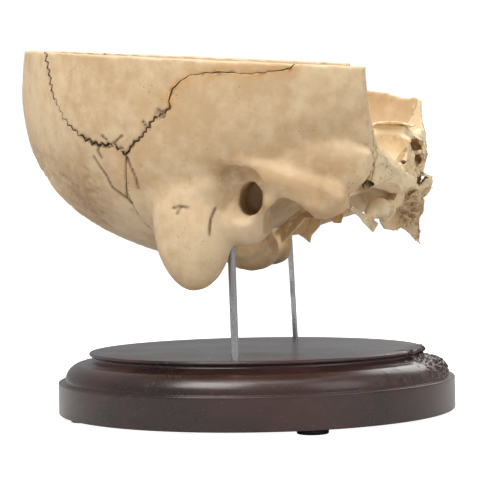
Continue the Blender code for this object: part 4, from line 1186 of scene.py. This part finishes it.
def old_bone(name, ivory, tan, stain_amount):
    made, tree, shader = new_material(name)
    where = node(tree, "ShaderNodeTexCoord").outputs["Object"]

    def mark(label):
        return node(tree, "ShaderNodeAttribute", attribute_name=label).outputs["Fac"]

    tone = node(tree, "ShaderNodeGroup", node_tree=bone_tone)
    tree.links.new(where, tone.inputs["Place"])
    tone.inputs["Ivory"].default_value = ivory
    tone.inputs["Tan"].default_value = tan
    tone.inputs["Stain"].default_value = BROWN_STAIN_AND_SHADE
    tone.inputs["Amount"].default_value = stain_amount
    colour = tone.outputs["Color"]
    jitter = noise(tree, 330.0, 4.0, where, 0.65)
    ragged = between(tree, jitter, 0.30, 0.66)
    # Brown stains, and painted shade in the hollows round the ear, in the jaw's socket and under the wing,
    # mixed in toward brown.
    stain_and_painted_shade = calc(tree, "MULTIPLY", mark("stain"), calc(tree, "ADD", 0.45, calc(tree, "MULTIPLY", ragged,
        0.55)))
    colour = colour_mix(tree, stain_and_painted_shade, colour, BROWN_STAIN_AND_SHADE)
    rust = calc(tree, "MAXIMUM", mark("orange"), calc(tree, "MULTIPLY", mark("halo"), 0.75))
    colour = colour_mix(tree, calc(tree, "MULTIPLY", rust, ragged), colour, ORANGE_STAIN)
    # Painted shade: creases and hollows, found by their pointiness, are darkened toward brown.
    painted_crease_shade = between(tree, node(tree, "ShaderNodeNewGeometry").outputs["Pointiness"], 0.495, 0.43)
    colour = colour_mix(tree, calc(tree, "MULTIPLY", painted_crease_shade, 0.6), colour, BROWN_STAIN_AND_SHADE)
    # Painted highlight: ridges and edges, found by their pointiness, are lightened toward cream.
    painted_edge_highlight = between(tree, node(tree, "ShaderNodeNewGeometry").outputs["Pointiness"], 0.53, 0.60)
    colour = colour_mix(tree, calc(tree, "MULTIPLY", painted_edge_highlight, 0.45), colour, CREAM_AND_PAINTED_LIGHT)
    holes = node(tree, "ShaderNodeGroup", node_tree=bone_pores)
    tree.links.new(where, holes.inputs["Place"])
    holes.inputs["Scale"].default_value = 520.0
    holes.inputs["Spread"].default_value = 0.16
    marks = calc(tree, "MAXIMUM", calc(tree, "MULTIPLY", holes.outputs[0], 0.7),
                 calc(tree, "MAXIMUM", calc(tree, "MULTIPLY", mark("seam"), 0.55), mark("crack")))
    colour = colour_mix(tree, marks, colour, DARK_STAIN)
    # Painted light: upward-facing surfaces inside the bowl are lightened toward cream.
    colour = colour_mix(tree, calc(tree, "MULTIPLY", mark("painted_upward_light"), 0.45), colour, CREAM_AND_PAINTED_LIGHT)
    tree.links.new(colour, shader.inputs["Base Color"])
    sheen = calc(tree, "ADD", 0.42, calc(tree, "MULTIPLY", tone.outputs["Mottle"], 0.25))
    sheen = calc(tree, "ADD", sheen, calc(tree, "MULTIPLY", mark("broken"), 0.25))
    tree.links.new(sheen, shader.inputs["Roughness"])
    shader.inputs["Specular IOR Level"].default_value = 0.42
    shader.inputs["Subsurface Weight"].default_value = 0.12
    shader.inputs["Subsurface Radius"].default_value = (1.0, 0.55, 0.25)
    shader.inputs["Subsurface Scale"].default_value = 0.0016
    fine = noise(tree, 900.0, 5.0, where, 0.6)
    saw_lines = noise(tree, 1.0, 1.0, node(tree, "ShaderNodeMapping", {
        "Vector": where, "Rotation": (0.0, 0.0, 0.4), "Scale": (1900.0, 60.0, 60.0)}).outputs[0])
    height = calc(tree, "ADD", calc(tree, "MULTIPLY", fine, 0.5), calc(tree, "MULTIPLY", jitter, 0.8))
    height = calc(tree, "SUBTRACT", height, calc(tree, "MULTIPLY", marks, 0.9))
    height = calc(tree, "ADD", height, calc(tree, "MULTIPLY", mark("sawn"), saw_lines))
    bump = node(tree, "ShaderNodeBump", {"Strength": 0.5, "Distance": 0.0003, "Height": height})
    tree.links.new(bump.outputs[0], shader.inputs["Normal"])
    return made


bone_relief = bone_tree()
aged_bone = old_bone("aged_bone", IVORY, TAN, 0.45)
broken_bone = old_bone("broken_bone", CREAM_AND_PAINTED_LIGHT, IVORY, 0.5)
for name, item in bones.items():
    item.data.materials.clear()
    for attribute in [a for a in item.data.attributes if a.name.startswith("material")]:
        item.data.attributes.remove(attribute)
    surface_marks(item)
    item.data.transform(skull_pose)
    finish = broken_bone if name == "sphenoid_bone" else aged_bone
    run_tree(item, bone_relief, {"Swell": 0.9, "Ripple": 0.12, "Pore Depth": 0.28, "Ridge Depth": 0.9,
                                 "Spongy Depth": 0.55, "Crack Depth": 0.35, "Seed": 2.0}, finish)
    places = np.empty(len(item.data.vertices) * 3)
    item.data.vertices.foreach_get("co", places)
    places = np.clip(places.reshape(-1, 3), np.array(cad_bounds[0]), np.array(cad_bounds[1]))
    item.data.vertices.foreach_set("co", places.ravel())
    item.data.shade_smooth()
    item.data.set_sharp_from_angle(angle=math.radians(60.0))
    item.name = name.replace("_bone", "")
    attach(item, "root")
    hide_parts(name)
